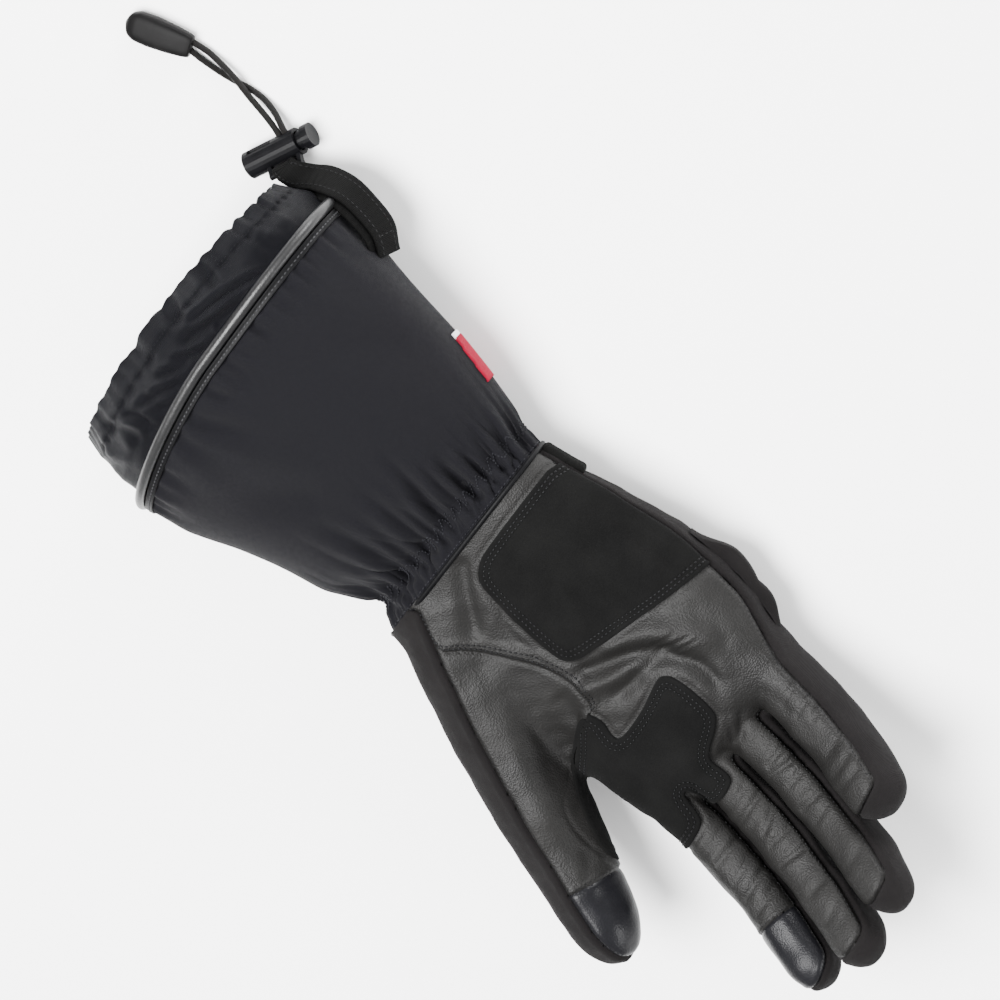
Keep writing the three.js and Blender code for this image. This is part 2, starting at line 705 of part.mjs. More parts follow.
function piping() {
  const hem = sleeveSection(SLEEVE_SECTIONS.at(-1));
  const radius = PIPING_WIDTH / 2;
  const loops = Array.from({ length: PIPING_SIDES }, (_, k) => {
    const angle = (2 * Math.PI * k) / PIPING_SIDES;
    const y = hem.y - radius - GAP + radius * Math.sin(angle);
    return flatLoop({ ...hem, y, floor: radius }, radius * Math.cos(angle), noRipple, hemSlant);
  });
  return ring(loops);
}

// Plain colour patch on the little-finger side of the sleeve: from and to are shares of its
// length, low and high of the hem's middle height.
const LABEL = { from: 0.26, to: 0.45, low: 0.224, high: 0.896 };

function label() {
  const outer = loft(sleeveLoops(GAP + LABEL_THICKNESS));
  const inner = loft(sleeveLoops(GAP));
  const low = new THREE.Vector3(-HEM_WIDTH, -LABEL.to * GAUNTLET_LENGTH, LABEL.low * HEM_HEIGHT);
  const high = new THREE.Vector3(
    HEM_SHIFT - 0.2 * HEM_WIDTH,
    -LABEL.from * GAUNTLET_LENGTH,
    LABEL.high * HEM_HEIGHT,
  );
  return mainBody(outer.subtract(inner).intersect(box(low, high)));
}

// Cord lock, about the barrel's own axis along X, then turned and moved to its place.
const CORD_HOLE_WIDTH = 2 * CORD_DIAMETER + GAP + 2 * CORD_CLEARANCE;
const CORD_HOLE_HEIGHT = CORD_DIAMETER + 2 * CORD_CLEARANCE;
const CORD_HOLE_X = -7;
const BARREL_START = CORD_HOLE_X - CORD_HOLE_WIDTH / 2 - BARREL_START_WALL;
const BARREL_END = BARREL_START + BARREL_LENGTH;
const WEBBING_SIDE_GAP = 0.7;
const POST_WIDTH = 1.6;
const POST_INSET = 0.5;
const WINDOW_START = CORD_HOLE_X + CORD_HOLE_WIDTH / 2 + 2;
const WINDOW_LOW = 0.4;
const WINDOW_HIGH = 3;
const POST_REACH = WEBBING_WIDTH / 2 + WEBBING_SIDE_GAP;
const BRACKET_X = BARREL_START + POST_INSET + POST_WIDTH + POST_REACH;
const BAR_REACH = BARREL_RADIUS + BRACKET_BAR_RADIUS + WEBBING_THICKNESS + 3 * GAP;
const BAR_ANGLE = 38; // degrees, of the bracket above the level
const BAR_Y = BAR_REACH * Math.cos(THREE.MathUtils.degToRad(BAR_ANGLE));
const BAR_Z = BAR_REACH * Math.sin(THREE.MathUtils.degToRad(BAR_ANGLE));
const LOCK_X = HEM_SIDE + LOCK_INSET;
const LOCK_Y = -GAUNTLET_LENGTH - SKIRT_LENGTH - LOCK_PAST_SKIRT;
const LOCK_Z = BARREL_RADIUS + LOCK_FLOOR_GAP;

function barrel() {
  const slot = (half, height, reach) =>
    box(
      new THREE.Vector3(CORD_HOLE_X - half, -reach, -height / 2),
      new THREE.Vector3(CORD_HOLE_X + half, reach, height / 2),
    );
  const shell = rod(BARREL_RADIUS, BARREL_START, BARREL_END);
  const bore = rod(BORE_RADIUS, BARREL_START - CUT_PAST, BARREL_END - BARREL_END_WALL);
  const posts = [-1, 1].map((way) => {
    const from = BRACKET_X + (way < 0 ? -POST_REACH - POST_WIDTH : POST_REACH);
    const post = box(
      new THREE.Vector3(from, (BARREL_RADIUS + BORE_RADIUS) / 2, -BRACKET_BAR_RADIUS),
      new THREE.Vector3(from + POST_WIDTH, BAR_REACH, BRACKET_BAR_RADIUS),
    );
    return post.rotate([BAR_ANGLE, 0, 0]);
  });
  const barHalf = POST_REACH + POST_WIDTH;
  const bar = rod(BRACKET_BAR_RADIUS, BRACKET_X - barHalf, BRACKET_X + barHalf, BAR_Y, BAR_Z, 12);
  const window = box(
    new THREE.Vector3(WINDOW_START, -BARREL_RADIUS - CUT_PAST, WINDOW_LOW),
    new THREE.Vector3(BARREL_END - BARREL_END_WALL, 0, WINDOW_HIGH),
  );
  const body = union([shell, bar, ...posts]);
  const cordHole = slot(CORD_HOLE_WIDTH / 2, CORD_HOLE_HEIGHT, BARREL_RADIUS * 2);
  return mainBody(body.subtract(bore).subtract(cordHole).subtract(window));
}

function plunger() {
  const radius = BORE_RADIUS - PLUNGER_CLEARANCE;
  const headEnd = BARREL_START - PLUNGER_TRAVEL - GAP;
  const stemEnd = CORD_HOLE_X + CORD_HOLE_WIDTH / 2 + BARREL_START_WALL;
  const stem = rod(radius, headEnd - PLUNGER_HEAD_LENGTH / 2, stemEnd);
  const head = rod(PLUNGER_HEAD_RADIUS, headEnd - PLUNGER_HEAD_LENGTH, headEnd);
  const half = CORD_HOLE_WIDTH / 2;
  const slot = box(
    new THREE.Vector3(CORD_HOLE_X - half - PLUNGER_TRAVEL, -radius * 2, -CORD_HOLE_HEIGHT / 2),
    new THREE.Vector3(CORD_HOLE_X + half, radius * 2, CORD_HOLE_HEIGHT / 2),
  );
  return stem.add(head).subtract(slot);
}

const lockPlace = new THREE.Matrix4()
  .makeTranslation(LOCK_X, LOCK_Y, LOCK_Z)
  .multiply(new THREE.Matrix4().makeRotationZ(THREE.MathUtils.degToRad(LOCK_TURN)));

function placed(solid) {
  return solid.transform(lockPlace.elements);
}

// Webbing: a folded strap, sewn upright to the sleeve's side, that turns flat towards the lock,
// goes round the bracket's bar and comes back under itself. Before is a share of its length before
// the hem, out of its bow past the hem's side, height of the hem's middle height, and twist runs
// from upright, 0, to along the bar, 1.
const WEBBING_ROUTE = [
  { before: 1, out: -0.48, height: 0.8, twist: 0 },
  { before: 0.72, out: 0.59, height: 0.785, twist: 0 },
  { before: 0.32, out: 1, height: 0.754, twist: 0 },
  { before: -0.04, out: 0.97, height: 0.692, twist: 0.15 },
  { before: -0.4, out: 0.2, height: 0.56, twist: 0.5 },
  { before: -0.69, out: -0.91, height: 0.443, twist: 0.95 },
];
const WEBBING_TURN_STEPS = 8;

function webbing() {
  const bar = new THREE.Vector3(BRACKET_X, BAR_Y, BAR_Z).applyMatrix4(lockPlace);
  const barWay = new THREE.Vector3(1, 0, 0).transformDirection(lockPlace);
  const up = new THREE.Vector3(0, 0, 1);
  const route = WEBBING_ROUTE.map(({ before, out, height, twist }) => {
    const x = HEM_SIDE - out * WEBBING_BOW;
    const y = before * WEBBING_REACH - GAUNTLET_LENGTH;
    return { at: new THREE.Vector3(x, y, height * HEM_HEIGHT), twist };
  });
  route.push({ at: bar, twist: 1 });
  const folded = (WEBBING_THICKNESS + GAP) / 2;
  const turnRadius = BRACKET_BAR_RADIUS + GAP + WEBBING_THICKNESS / 2;
  const stations = route.map(({ at, twist }, i) => {
    const before = route[Math.max(i - 1, 0)].at;
    const after = route[Math.min(i + 1, route.length - 1)].at;
    const run = new THREE.Vector3().subVectors(after, before);
    if (i === route.length - 1) run.addScaledVector(barWay, -run.dot(barWay));
    run.normalize();
    const width = up.clone().lerp(barWay, twist);
    width.addScaledVector(run, -width.dot(run)).normalize();
    const face = new THREE.Vector3().crossVectors(run, width);
    const spread = i < route.length - 2 ? folded : turnRadius;
    return { at, run, width, face, spread };
  });
  const strapLoop = (middle, face, width) =>
    [
      [-1, -1],
      [1, -1],
      [1, 1],
      [-1, 1],
    ].map(([u, v]) => {
      const point = middle.clone().addScaledVector(width, (u * WEBBING_WIDTH) / 2);
      return point.addScaledVector(face, (v * WEBBING_THICKNESS) / 2);
    });
  const outward = stations.slice(0, -1).map(({ at, width, face, spread }) => {
    return strapLoop(at.clone().addScaledVector(face, spread), face, width);
  });
  const back = stations.slice(0, -1).map(({ at, width, face, spread }) => {
    return strapLoop(at.clone().addScaledVector(face, -spread), face.clone().negate(), width);
  });
  const { run, width, face } = stations.at(-1);
  const turn = Array.from({ length: WEBBING_TURN_STEPS + 1 }, (_, k) => {
    const angle = (Math.PI * k) / WEBBING_TURN_STEPS;
    const out = face.clone().multiplyScalar(Math.cos(angle)).addScaledVector(run, Math.sin(angle));
    return strapLoop(bar.clone().addScaledVector(out, turnRadius), out, width);
  });
  const strap = loft([...outward, ...turn, ...back.toReversed()]);
  return mainBody(strap.subtract(loft(sleeveLoops(GAP))));
}

// Cords: two elastic strands from the skirt's side, through the lock, to the pull.
// Points are laid out by hand, in millimetres: x and y from the middle of the lock, z from the floor.
const CORD_POINTS = {
  a: [
    [12.1, 16.5, 12.5], [9.6, 15, 9.5], [5.3, 12.7, 6.4], [1.1, 11.4, 5.5],
    [-2.16, 8.73, 5.45], [-5.12, 2.39, 5.45], [-8.08, -3.95, 5.45], [-9.4, -9, 4.8],
    [-10.4, -14, 4.3], [-11.7, -20, 4.1], [-13.5, -26.5, 4.1], [-14.4, -33, 3.3],
    [-14.6, -40, 2.1], [-14.5, -44.2, 2.1], [-14.1, -48.5, 2.3],
  ],
  b: [
    [10.1, 19.5, 12.8], [7.1, 18, 9.5], [2.6, 15.7, 6.4], [-2, 14, 5.5],
    [-4.6, 9.87, 5.45], [-7.56, 3.53, 5.45], [-10.52, -2.81, 5.45], [-12.3, -8.5, 3.2],
    [-13.2, -14.5, 1.6], [-13, -21, 1.35], [-11.9, -27, 1.35], [-10.9, -34, 1.35],
    [-10.5, -41, 1.5], [-10.6, -44.8, 1.8], [-11, -48.5, 2.3],
  ],
};
const CORD_SIDES = 8;
const CORD_STEP = 2 * CORD_DIAMETER;

function cordPath(strand) {
  const points = CORD_POINTS[strand].map(([x, y, z]) => new THREE.Vector3(LOCK_X + x, LOCK_Y + y, z));
  return new THREE.CatmullRomCurve3(points);
}

function cord(strand) {
  const path = cordPath(strand);
  const outline = new THREE.Shape();
  for (let i = 0; i < CORD_SIDES; i++) {
    const angle = (2 * Math.PI * i) / CORD_SIDES;
    const x = (CORD_DIAMETER / 2) * Math.cos(angle);
    const y = (CORD_DIAMETER / 2) * Math.sin(angle);
    if (i === 0) outline.moveTo(x, y);
    else outline.lineTo(x, y);
  }
  const steps = Math.ceil(path.getLength() / CORD_STEP);
  const geometry = new THREE.ExtrudeGeometry(outline, { steps, extrudePath: path, bevelEnabled: false });
  return mainBody(solidOfGeometry(geometry).subtract(loft(skirtLoops(GAP))));
}

// Pull: a rounded tablet at the strands' far end.
const PULL_HEADING = -72; // degrees from X
const PULL_BEVEL = 1.6;

function pull() {
  const heading = THREE.MathUtils.degToRad(PULL_HEADING);
  const away = new THREE.Vector3(Math.cos(heading), Math.sin(heading), 0);
  const ends = ["a", "b"].map((strand) => cordPath(strand).getPoint(1));
  const start = new THREE.Vector3().addVectors(...ends).divideScalar(2);
  start.addScaledVector(away, GAP + CORD_DIAMETER / 4);
  const neck = PULL_WIDTH * 0.3 - PULL_BEVEL * 0.4;
  const belly = PULL_WIDTH / 2 - PULL_BEVEL;
  const first = PULL_BEVEL;
  const last = PULL_LENGTH - PULL_BEVEL;
  const outline = new THREE.Shape();
  outline.moveTo(first, -neck);
  outline.bezierCurveTo(last * 0.3, -belly * 1.05, last * 0.55, -belly * 1.1, last * 0.8, -belly * 0.92);
  outline.bezierCurveTo(last * 1.06, -belly * 0.7, last * 1.06, belly * 0.7, last * 0.8, belly * 0.92);
  outline.bezierCurveTo(last * 0.55, belly * 1.1, last * 0.3, belly * 1.05, first, neck);
  const geometry = new THREE.ExtrudeGeometry(outline, {
    depth: PULL_THICKNESS - 2 * PULL_BEVEL,
    bevelThickness: PULL_BEVEL,
    bevelSize: PULL_BEVEL,
    bevelSegments: 2,
    curveSegments: 5,
  });
  geometry.translate(0, 0, PULL_BEVEL);
  geometry.rotateZ(heading);
  geometry.translate(start.x, start.y, LOCK_FLOOR_GAP);
  return solidOfGeometry(geometry);
}

// Assembly
const cordNames = ["cord_a", "cord_b", "cord_pull"];
const pieces = [
  ["palm_panel", palmPanel, "leather"],
  ["back_panel", backPanel, "charcoal"],
  ...digitNames.flatMap(digitPieces),
  ["heel_patch", heelPatch, "suede"],
  ["grip_patch", gripPatch, "suede"],
  ["knuckle_pad", knucklePad(), "softshell"],
  ["wrist_strap", wristStrap(), "webbing"],
  ["gauntlet", gauntlet, "softshell"],
  ["hem_skirt", skirt, "skirt"],
  ["hem_piping", piping(), "piping"],
  ["colour_label", label(), "label"],
  ["lock_webbing", webbing(), "webbing"],
  ["cord_lock_barrel", placed(barrel()), "plastic"],
  ["cord_lock_plunger", placed(plunger()), "plastic"],
  ["cord_a", cord("a"), "cord"],
  ["cord_b", cord("b"), "cord"],
  ["cord_pull", pull(), "rubber"],
];

const glove = new THREE.Group();
glove.name = "heated_glove";
const extent = new THREE.Box3();
for (const [name, solid, look] of pieces) {
  const mesh = meshOf(name, solid, look);
  glove.add(mesh);
  if (!cordNames.includes(name)) extent.expandByObject(mesh);
}

// The origin is under the middle of the glove without its cords.
const middle = extent.getCenter(new THREE.Vector3());
glove.position.set(-middle.x, -middle.y, -extent.min.z);

export default glove;
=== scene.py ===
# Looks of the heated glove, built over its CAD solids.
# Shapes are worked out in millimetres from the wrist seam: X to the thumb, Y to the fingertips,
# Z up out of the palm. They are moved into the model's frame as each mesh is made.
import bpy
import math
import numpy as np
from mathutils import Matrix, Vector
from mathutils.kdtree import KDTree


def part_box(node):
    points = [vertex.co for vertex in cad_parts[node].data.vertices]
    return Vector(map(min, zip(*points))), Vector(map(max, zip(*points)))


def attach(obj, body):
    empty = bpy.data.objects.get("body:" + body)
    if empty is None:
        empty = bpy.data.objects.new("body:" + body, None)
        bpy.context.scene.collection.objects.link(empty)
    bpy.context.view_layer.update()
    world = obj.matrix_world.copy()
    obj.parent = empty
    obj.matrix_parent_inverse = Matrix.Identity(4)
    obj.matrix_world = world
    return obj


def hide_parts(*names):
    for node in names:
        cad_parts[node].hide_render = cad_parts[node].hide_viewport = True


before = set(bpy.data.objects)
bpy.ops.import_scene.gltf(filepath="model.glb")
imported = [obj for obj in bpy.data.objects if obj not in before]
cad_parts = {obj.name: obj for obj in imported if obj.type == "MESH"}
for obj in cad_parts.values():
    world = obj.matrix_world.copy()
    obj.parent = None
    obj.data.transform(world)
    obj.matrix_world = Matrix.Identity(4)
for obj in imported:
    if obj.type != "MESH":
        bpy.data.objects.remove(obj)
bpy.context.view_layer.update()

MM = 0.001  # a millimetre in metres

# Sizes, as in the solids
PALM_LENGTH = 125.0
PALM_WIDTH = 101.0
PALM_DEPTH = 36.0
BACK_CLEAR = 3.7
WRIST_WIDTH = 97.0
WRIST_DEPTH = 39.0
WRIST_HEIGHT = 24.0
GAUNTLET_LENGTH = 112.0
HEM_WIDTH = 141.0
HEM_DEPTH = 70.0
HEM_HEIGHT = 32.5
HEM_SHIFT = -6.3
HEM_SLANT = 11.0
GAUNTLET_WALL = 2.2
SKIRT_LENGTH = 28.0
SKIRT_WALL = 1.0
PIPING_WIDTH = 4.4
CORD_DIAMETER = 2.4
sleeve_low, sleeve_high = (np.array(v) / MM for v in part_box("gauntlet"))
ORIGIN = np.array([sleeve_low[0] - (HEM_SHIFT - HEM_WIDTH / 2), sleeve_high[1] + 0.15, 0.0])

# Camera: it looks down at the palm and leans to the little-finger side
CAMERA_AWAY = np.array([-0.469, 0.0, 0.883])
CAMERA_RIGHT = np.array([-0.544, 0.788, -0.289])
CAMERA_DISTANCE = 1600.0
VIEW_WIDTH = 370.0
SENSOR_WIDTH = 36
AIM = np.array([-21.7, 0.5, 24.0])
LEAN_AXIS = np.array([0.883, 0.0, 0.469])


def seen(points):
    """Where points show in the camera's view: (along the glove, across it), in millimetres."""
    rel = points - AIM
    scale = CAMERA_DISTANCE / (CAMERA_DISTANCE - rel @ CAMERA_AWAY)
    return AIM[1] + rel[..., 1] * scale, LEAN_AXIS[0] * AIM[0] + (rel @ LEAN_AXIS) * scale


# Meshes


def smoothstep(x, low, high):
    t = np.clip((x - low) / (high - low), 0, 1)
    return t * t * (3 - 2 * t)


def bell(x, width):
    return np.exp(-((x / width) ** 2))


def fold_profile(d, width, ridge, apart=2.1, ridge_width=1.0):
    """Depth across a fold: a valley with a low ridge beside it."""
    return bell(d, width) - ridge * bell(d - apart * width, ridge_width * width)


def eased_floor(z, floor, ease):
    """Heights kept above a floor, eased in over the given height."""
    return np.where(z < floor + ease, floor + ease * np.exp(np.minimum((z - floor - ease) / ease, 0)), z)


def add_object(name, data):
    obj = bpy.data.objects.new(name, data)
    bpy.context.scene.collection.objects.link(obj)
    return obj


def make_object(name, verts, faces, material, smooth=True, uv=None):
    mesh = bpy.data.meshes.new(name)
    count, corners = faces.shape
    mesh.vertices.add(len(verts))
    mesh.vertices.foreach_set("co", ((verts + ORIGIN) * MM).ravel())
    mesh.loops.add(count * corners)
    mesh.loops.foreach_set("vertex_index", faces.ravel().astype(np.int32))
    mesh.polygons.add(count)
    mesh.polygons.foreach_set("loop_start", np.arange(0, count * corners, corners, dtype=np.int32))
    mesh.polygons.foreach_set("loop_total", np.full(count, corners, dtype=np.int32))
    mesh.update(calc_edges=True)
    mesh.validate()
    if uv is not None:
        layer = mesh.uv_layers.new(name="cloth")
        index = np.empty(len(mesh.loops), dtype=np.int32)
        mesh.loops.foreach_get("vertex_index", index)
        layer.data.foreach_set("uv", uv[index].ravel())
    if smooth:
        mesh.polygons.foreach_set("use_smooth", np.ones(len(mesh.polygons), dtype=bool))
    mesh.materials.append(material)
    return add_object(name, mesh)


def finish_piece(obj, slot, *nodes):
    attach(obj, "glove")
    if nodes:
        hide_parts(*nodes)
    return obj


def triangles(faces):
    """Splits four-sided faces. Triangles stay as they are."""
    return faces if faces.shape[1] == 3 else np.concatenate([faces[:, :3], faces[:, [0, 2, 3]]])


def normals_of(verts, tris):
    a, b, c = (verts[tris[:, i]] for i in range(3))
    face = np.cross(b - a, c - a)
    total = np.zeros_like(verts)
    for i in range(3):
        np.add.at(total, tris[:, i], face)
    length = np.linalg.norm(total, axis=1)
    length[length == 0] = 1
    return total / length[:, None]


def looks_back(verts, faces, ways):
    """Whether the faces look against the ways given for their vertices."""
    return (normals_of(verts, triangles(faces)) * ways).sum() < 0


def cut(verts, tris, value):
    """Splits triangles along value = 0. Returns the vertices, the triangles and the values."""
    value = value.copy()
    value[np.abs(value) < 1e-4] = 0
    sign = np.sign(value)
    tri_sign = sign[tris]
    mixed = (tri_sign.max(axis=1) > 0) & (tri_sign.min(axis=1) < 0)
    keep = tris[~mixed]
    cross = tris[mixed]
    cross_sign = sign[cross]
    edges = []
    for i, j in ((0, 1), (1, 2), (2, 0)):
        hit = cross_sign[:, i] * cross_sign[:, j] < 0
        edges.append(np.sort(cross[hit][:, [i, j]], axis=1))
    if not len(cross):
        return verts, tris, value
    unique = np.unique(np.concatenate(edges), axis=0)
    a, b = unique[:, 0], unique[:, 1]
    t = value[a] / (value[a] - value[b])
    made = verts[a] + (verts[b] - verts[a]) * t[:, None]
    key = a.astype(np.int64) * (len(verts) + 1) + b
    base = len(verts)

    def middle(i, j):
        low, high = np.minimum(i, j), np.maximum(i, j)
        return base + np.searchsorted(key, low.astype(np.int64) * (base + 1) + high)

    zeros = (cross_sign == 0).sum(axis=1)
    out = [keep]
    one = cross[zeros == 1]
    if len(one):
        s = sign[one]
        turn = np.argmax(s == 0, axis=1)
        r = np.stack([one[np.arange(len(one)), (turn + k) % 3] for k in range(3)], axis=1)
        m = middle(r[:, 1], r[:, 2])
        out.append(np.stack([r[:, 0], r[:, 1], m], axis=1))
        out.append(np.stack([r[:, 0], m, r[:, 2]], axis=1))
    two = cross[zeros == 0]
    if len(two):
        s = sign[two]
        lone = np.argmax(s == -np.sign(s.sum(axis=1))[:, None], axis=1)
        r = np.stack([two[np.arange(len(two)), (lone + k) % 3] for k in range(3)], axis=1)
        m1 = middle(r[:, 0], r[:, 1])
        m2 = middle(r[:, 2], r[:, 0])
        out.append(np.stack([r[:, 0], m1, m2], axis=1))
        out.append(np.stack([m1, r[:, 1], r[:, 2]], axis=1))
        out.append(np.stack([m1, r[:, 2], m2], axis=1))
    verts = np.concatenate([verts, made])
    value = np.concatenate([value, np.zeros(len(made))])
    return verts, np.concatenate(out), value


def side_of(tris, value):
    """True for triangles on the positive side of a value that the mesh was cut along."""
    return value[tris].sum(axis=1) > 0


def part_of(verts, tris):
    """The triangles with only the vertices that they use, and the numbers of those."""
    used, index = np.unique(tris, return_inverse=True)
    return verts[used], index.reshape(tris.shape), used


def isolines(verts, tris, value, level):
    """Chains of points on the mesh where value is level."""
    f = value - level
    f = np.where(f == 0, 1e-9, f)
    s = f > 0
    t = tris[(s[tris].any(axis=1)) & (~s[tris].all(axis=1))]
    links = {}
    place = {}
    for tri in t:
        ends = []
        for i, j in ((0, 1), (1, 2), (2, 0)):
            p, q = tri[i], tri[j]
            if s[p] != s[q]:
                key = (min(p, q), max(p, q))
                if key not in place:
                    k = f[p] / (f[p] - f[q])
                    place[key] = verts[p] + (verts[q] - verts[p]) * k
                ends.append(key)
        if len(ends) == 2:
            links.setdefault(ends[0], []).append(ends[1])
            links.setdefault(ends[1], []).append(ends[0])
    seen_keys = set()
    chains = []
    starts = [k for k, v in links.items() if len(v) == 1] + list(links)
    for start in starts:
        if start in seen_keys:
            continue
        chain = [start]
        seen_keys.add(start)
        while True:
            nxt = [k for k in links[chain[-1]] if k not in seen_keys]
            if not nxt:
                break
            chain.append(nxt[0])
            seen_keys.add(nxt[0])
        if len(chain) > 3:
            chains.append(np.array([place[k] for k in chain]))
    return chains


def path_length(points):
    """How far along a line each of its points lies."""
    return np.concatenate([[0], np.cumsum(np.linalg.norm(np.diff(points, axis=0), axis=1))])


def resample_count(points, count):
    run = path_length(points)
    at = np.linspace(0, run[-1], count)
    return np.stack([np.interp(at, run, points[:, i]) for i in range(3)], axis=1)


def resample(points, step):
    return resample_count(points, max(int(path_length(points)[-1] / step), 1) + 1)


def smooth_chain(points, rounds=3):
    points = points.copy()
    for _ in range(rounds):
        points[1:-1] = (points[:-2] + 2 * points[1:-1] + points[2:]) / 4
    return points


def circle(count):
    return 2 * math.pi * np.arange(count) / count


def rounded_point(angle, a, b, power):
    c, s = np.cos(angle), np.sin(angle)
    return a * np.sign(c) * np.abs(c) ** (2 / power), b * np.sign(s) * np.abs(s) ** (2 / power)


def even_angles(count, a, b, power):
    """Angles whose points lie evenly round a rounded section."""
    dense = np.linspace(0, 2 * math.pi, 4001)
    u, v = rounded_point(dense, a, b, power)
    run = path_length(np.stack([u, v], axis=1))
    return np.interp(np.arange(count) / count * run[-1], run, dense), run[-1]


def spline(points, count):
    """Points on a smooth curve through the given ones."""
    points = np.array(points, dtype=float)
    full = np.concatenate([[2 * points[0] - points[1]], points, [2 * points[-1] - points[-2]]])
    out = []
    spans = len(points) - 1
    for t in np.linspace(0, spans, count):
        k = min(int(t), spans - 1)
        f = t - k
        p0, p1, p2, p3 = full[k : k + 4]
        square, cube = 2 * p0 - 5 * p1 + 4 * p2 - p3, 3 * p1 - p0 - 3 * p2 + p3
        out.append(0.5 * (2 * p1 + (p2 - p0) * f + square * f**2 + cube * f**3))
    return np.array(out)


def smooth_table(x, y, at, width):
    """A table read at even steps, with its corners rounded over about width."""
    dense = np.interp(at, x, y)
    step = at[1] - at[0]
    n = int(3 * width / step)
    kernel = np.exp(-0.5 * ((np.arange(-n, n + 1) * step) / width) ** 2)
    kernel /= kernel.sum()
    padded = np.concatenate([np.full(n, dense[0]), dense, np.full(n, dense[-1])])
    return np.convolve(padded, kernel, mode="valid")


def radial(u, v, a, b, power):
    """Rough distance to a rounded section with half sizes a and b."""
    q = (np.abs(u / a) ** power + np.abs(v / b) ** power) ** (1 / power)
    r = np.hypot(u, v)
    return np.where(q > 1e-3, r * (1 - 1 / np.maximum(q, 1e-3)), -np.minimum(a, b))


def blend_min(a, b, k):
    """The lesser of two distances, with the corner between them rounded."""
    h = np.maximum(k - np.abs(a - b), 0) / k
    return np.minimum(a, b) - h * h * k / 4


def rounded(points, closed=True):
    """A line or outline with its corners cut, twice over."""
    points = np.array(points, dtype=float)
    for _ in range(2):
        if closed:
            nxt = np.roll(points, -1, axis=0)
            points = np.stack([0.75 * points + 0.25 * nxt, 0.25 * points + 0.75 * nxt], axis=1).reshape(-1, 2)
        else:
            a, b = points[:-1], points[1:]
            mid = np.stack([0.75 * a + 0.25 * b, 0.25 * a + 0.75 * b], axis=1).reshape(-1, 2)
            points = np.concatenate([points[:1], mid, points[-1:]])
    return points


def line_distance(y, x, points):
    """Distance to an open line, and how far along it the nearest point lies, 0 to 1."""
    best = np.full(y.shape, 1e9)
    where = np.zeros(y.shape)
    run = path_length(points)
    for k in range(len(points) - 1):
        a, b = points[k], points[k + 1]
        d = b - a
        t = np.clip(((y - a[0]) * d[0] + (x - a[1]) * d[1]) / max(d @ d, 1e-9), 0, 1)
        dist = np.hypot(y - a[0] - t * d[0], x - a[1] - t * d[1])
        closer = dist < best
        best = np.where(closer, dist, best)
        where = np.where(closer, (run[k] + t * (run[k + 1] - run[k])) / run[-1], where)
    return best, where


def polygon_distance(y, x, points):
    """Signed distance to a closed outline, negative inside."""
    best = line_distance(y, x, np.concatenate([points, points[:1]]))[0]
    inside = np.zeros(y.shape, dtype=bool)
    for a, b in zip(points, np.roll(points, -1, axis=0)):
        crosses = (a[1] > x) != (b[1] > x)
        with np.errstate(divide="ignore", invalid="ignore"):
            at = a[0] + (x - a[1]) * (b[0] - a[0]) / (b[1] - a[1])
        inside ^= crosses & (y < at)
    return np.where(inside, -best, best)


def grid_faces(rows, columns, closed=True):
    i, j = np.meshgrid(np.arange(rows - 1), np.arange(columns if closed else columns - 1), indexing="ij")
    n = (j + 1) % columns
    low, high = i * columns, (i + 1) * columns
    return np.stack([low + j, low + n, high + n, high + j], axis=-1).reshape(-1, 4)


def capped(rings):
    """Vertices and triangles of a tube through rings of points, closed at both ends."""
    rows, columns = rings.shape[:2]
    verts = np.concatenate([rings.reshape(-1, 3), rings[[0, -1]].mean(axis=1)])
    j = np.arange(columns)
    n = (j + 1) % columns
    last = (rows - 1) * columns
    first_cap = np.stack([np.full(columns, rows * columns), n, j], axis=1)
    last_cap = np.stack([np.full(columns, rows * columns + 1), last + j, last + n], axis=1)
    return verts, np.concatenate([triangles(grid_faces(rows, columns)), first_cap, last_cap])


def walled(rows, columns):
    """Faces of an open sleeve with an outer and an inner side and both its rims."""
    base = rows * columns
    out = grid_faces(rows, columns)
    back = out[:, ::-1] + base
    j = np.arange(columns)
    n = (j + 1) % columns
    first = np.stack([j + base, n + base, n, j], axis=1)
    last = (rows - 1) * columns
    second = np.stack([last + j, last + n, last + n + base, last + j + base], axis=1)
    return np.concatenate([out, back, first, second])


def grid_normals(points):
    du = np.roll(points, -1, axis=1) - np.roll(points, 1, axis=1)
    dv = np.gradient(points, axis=0)
    n = np.cross(du, dv)
    n /= np.maximum(np.linalg.norm(n, axis=2), 1e-9)[..., None]
    centre = points.mean(axis=1, keepdims=True)
    if (n * (points - centre)).sum() < 0:
        n = -n
    return n


def row_point(points, row, column):
    """Points of a closed grid at fractional rows and columns."""
    rows, columns = points.shape[:2]
    r = np.clip(row, 0, rows - 1.001)
    c = np.mod(column, columns)
    r0, c0 = r.astype(int), c.astype(int) % columns
    fr, fc = (r - r0)[:, None], (c - c.astype(int))[:, None]
    c1 = (c0 + 1) % columns
    a = points[r0, c0] * (1 - fc) + points[r0, c1] * fc
    b = points[r0 + 1, c0] * (1 - fc) + points[r0 + 1, c1] * fc
    return a * (1 - fr) + b * fr


def wave_noise(p, scale, seed):
    """Smooth noise from a few waves, about -1 to 1."""
    made = np.random.default_rng(seed)
    total = np.zeros(len(p))
    for _ in range(9):
        way = made.normal(size=3)
        way /= np.linalg.norm(way)
        length = scale * made.uniform(0.6, 1.5)
        total += np.sin(p @ way * (2 * math.pi / length) + made.uniform(0, 6.28))
    return total / 3.2


# Materials
CLOTH_BUMP = 0.00012


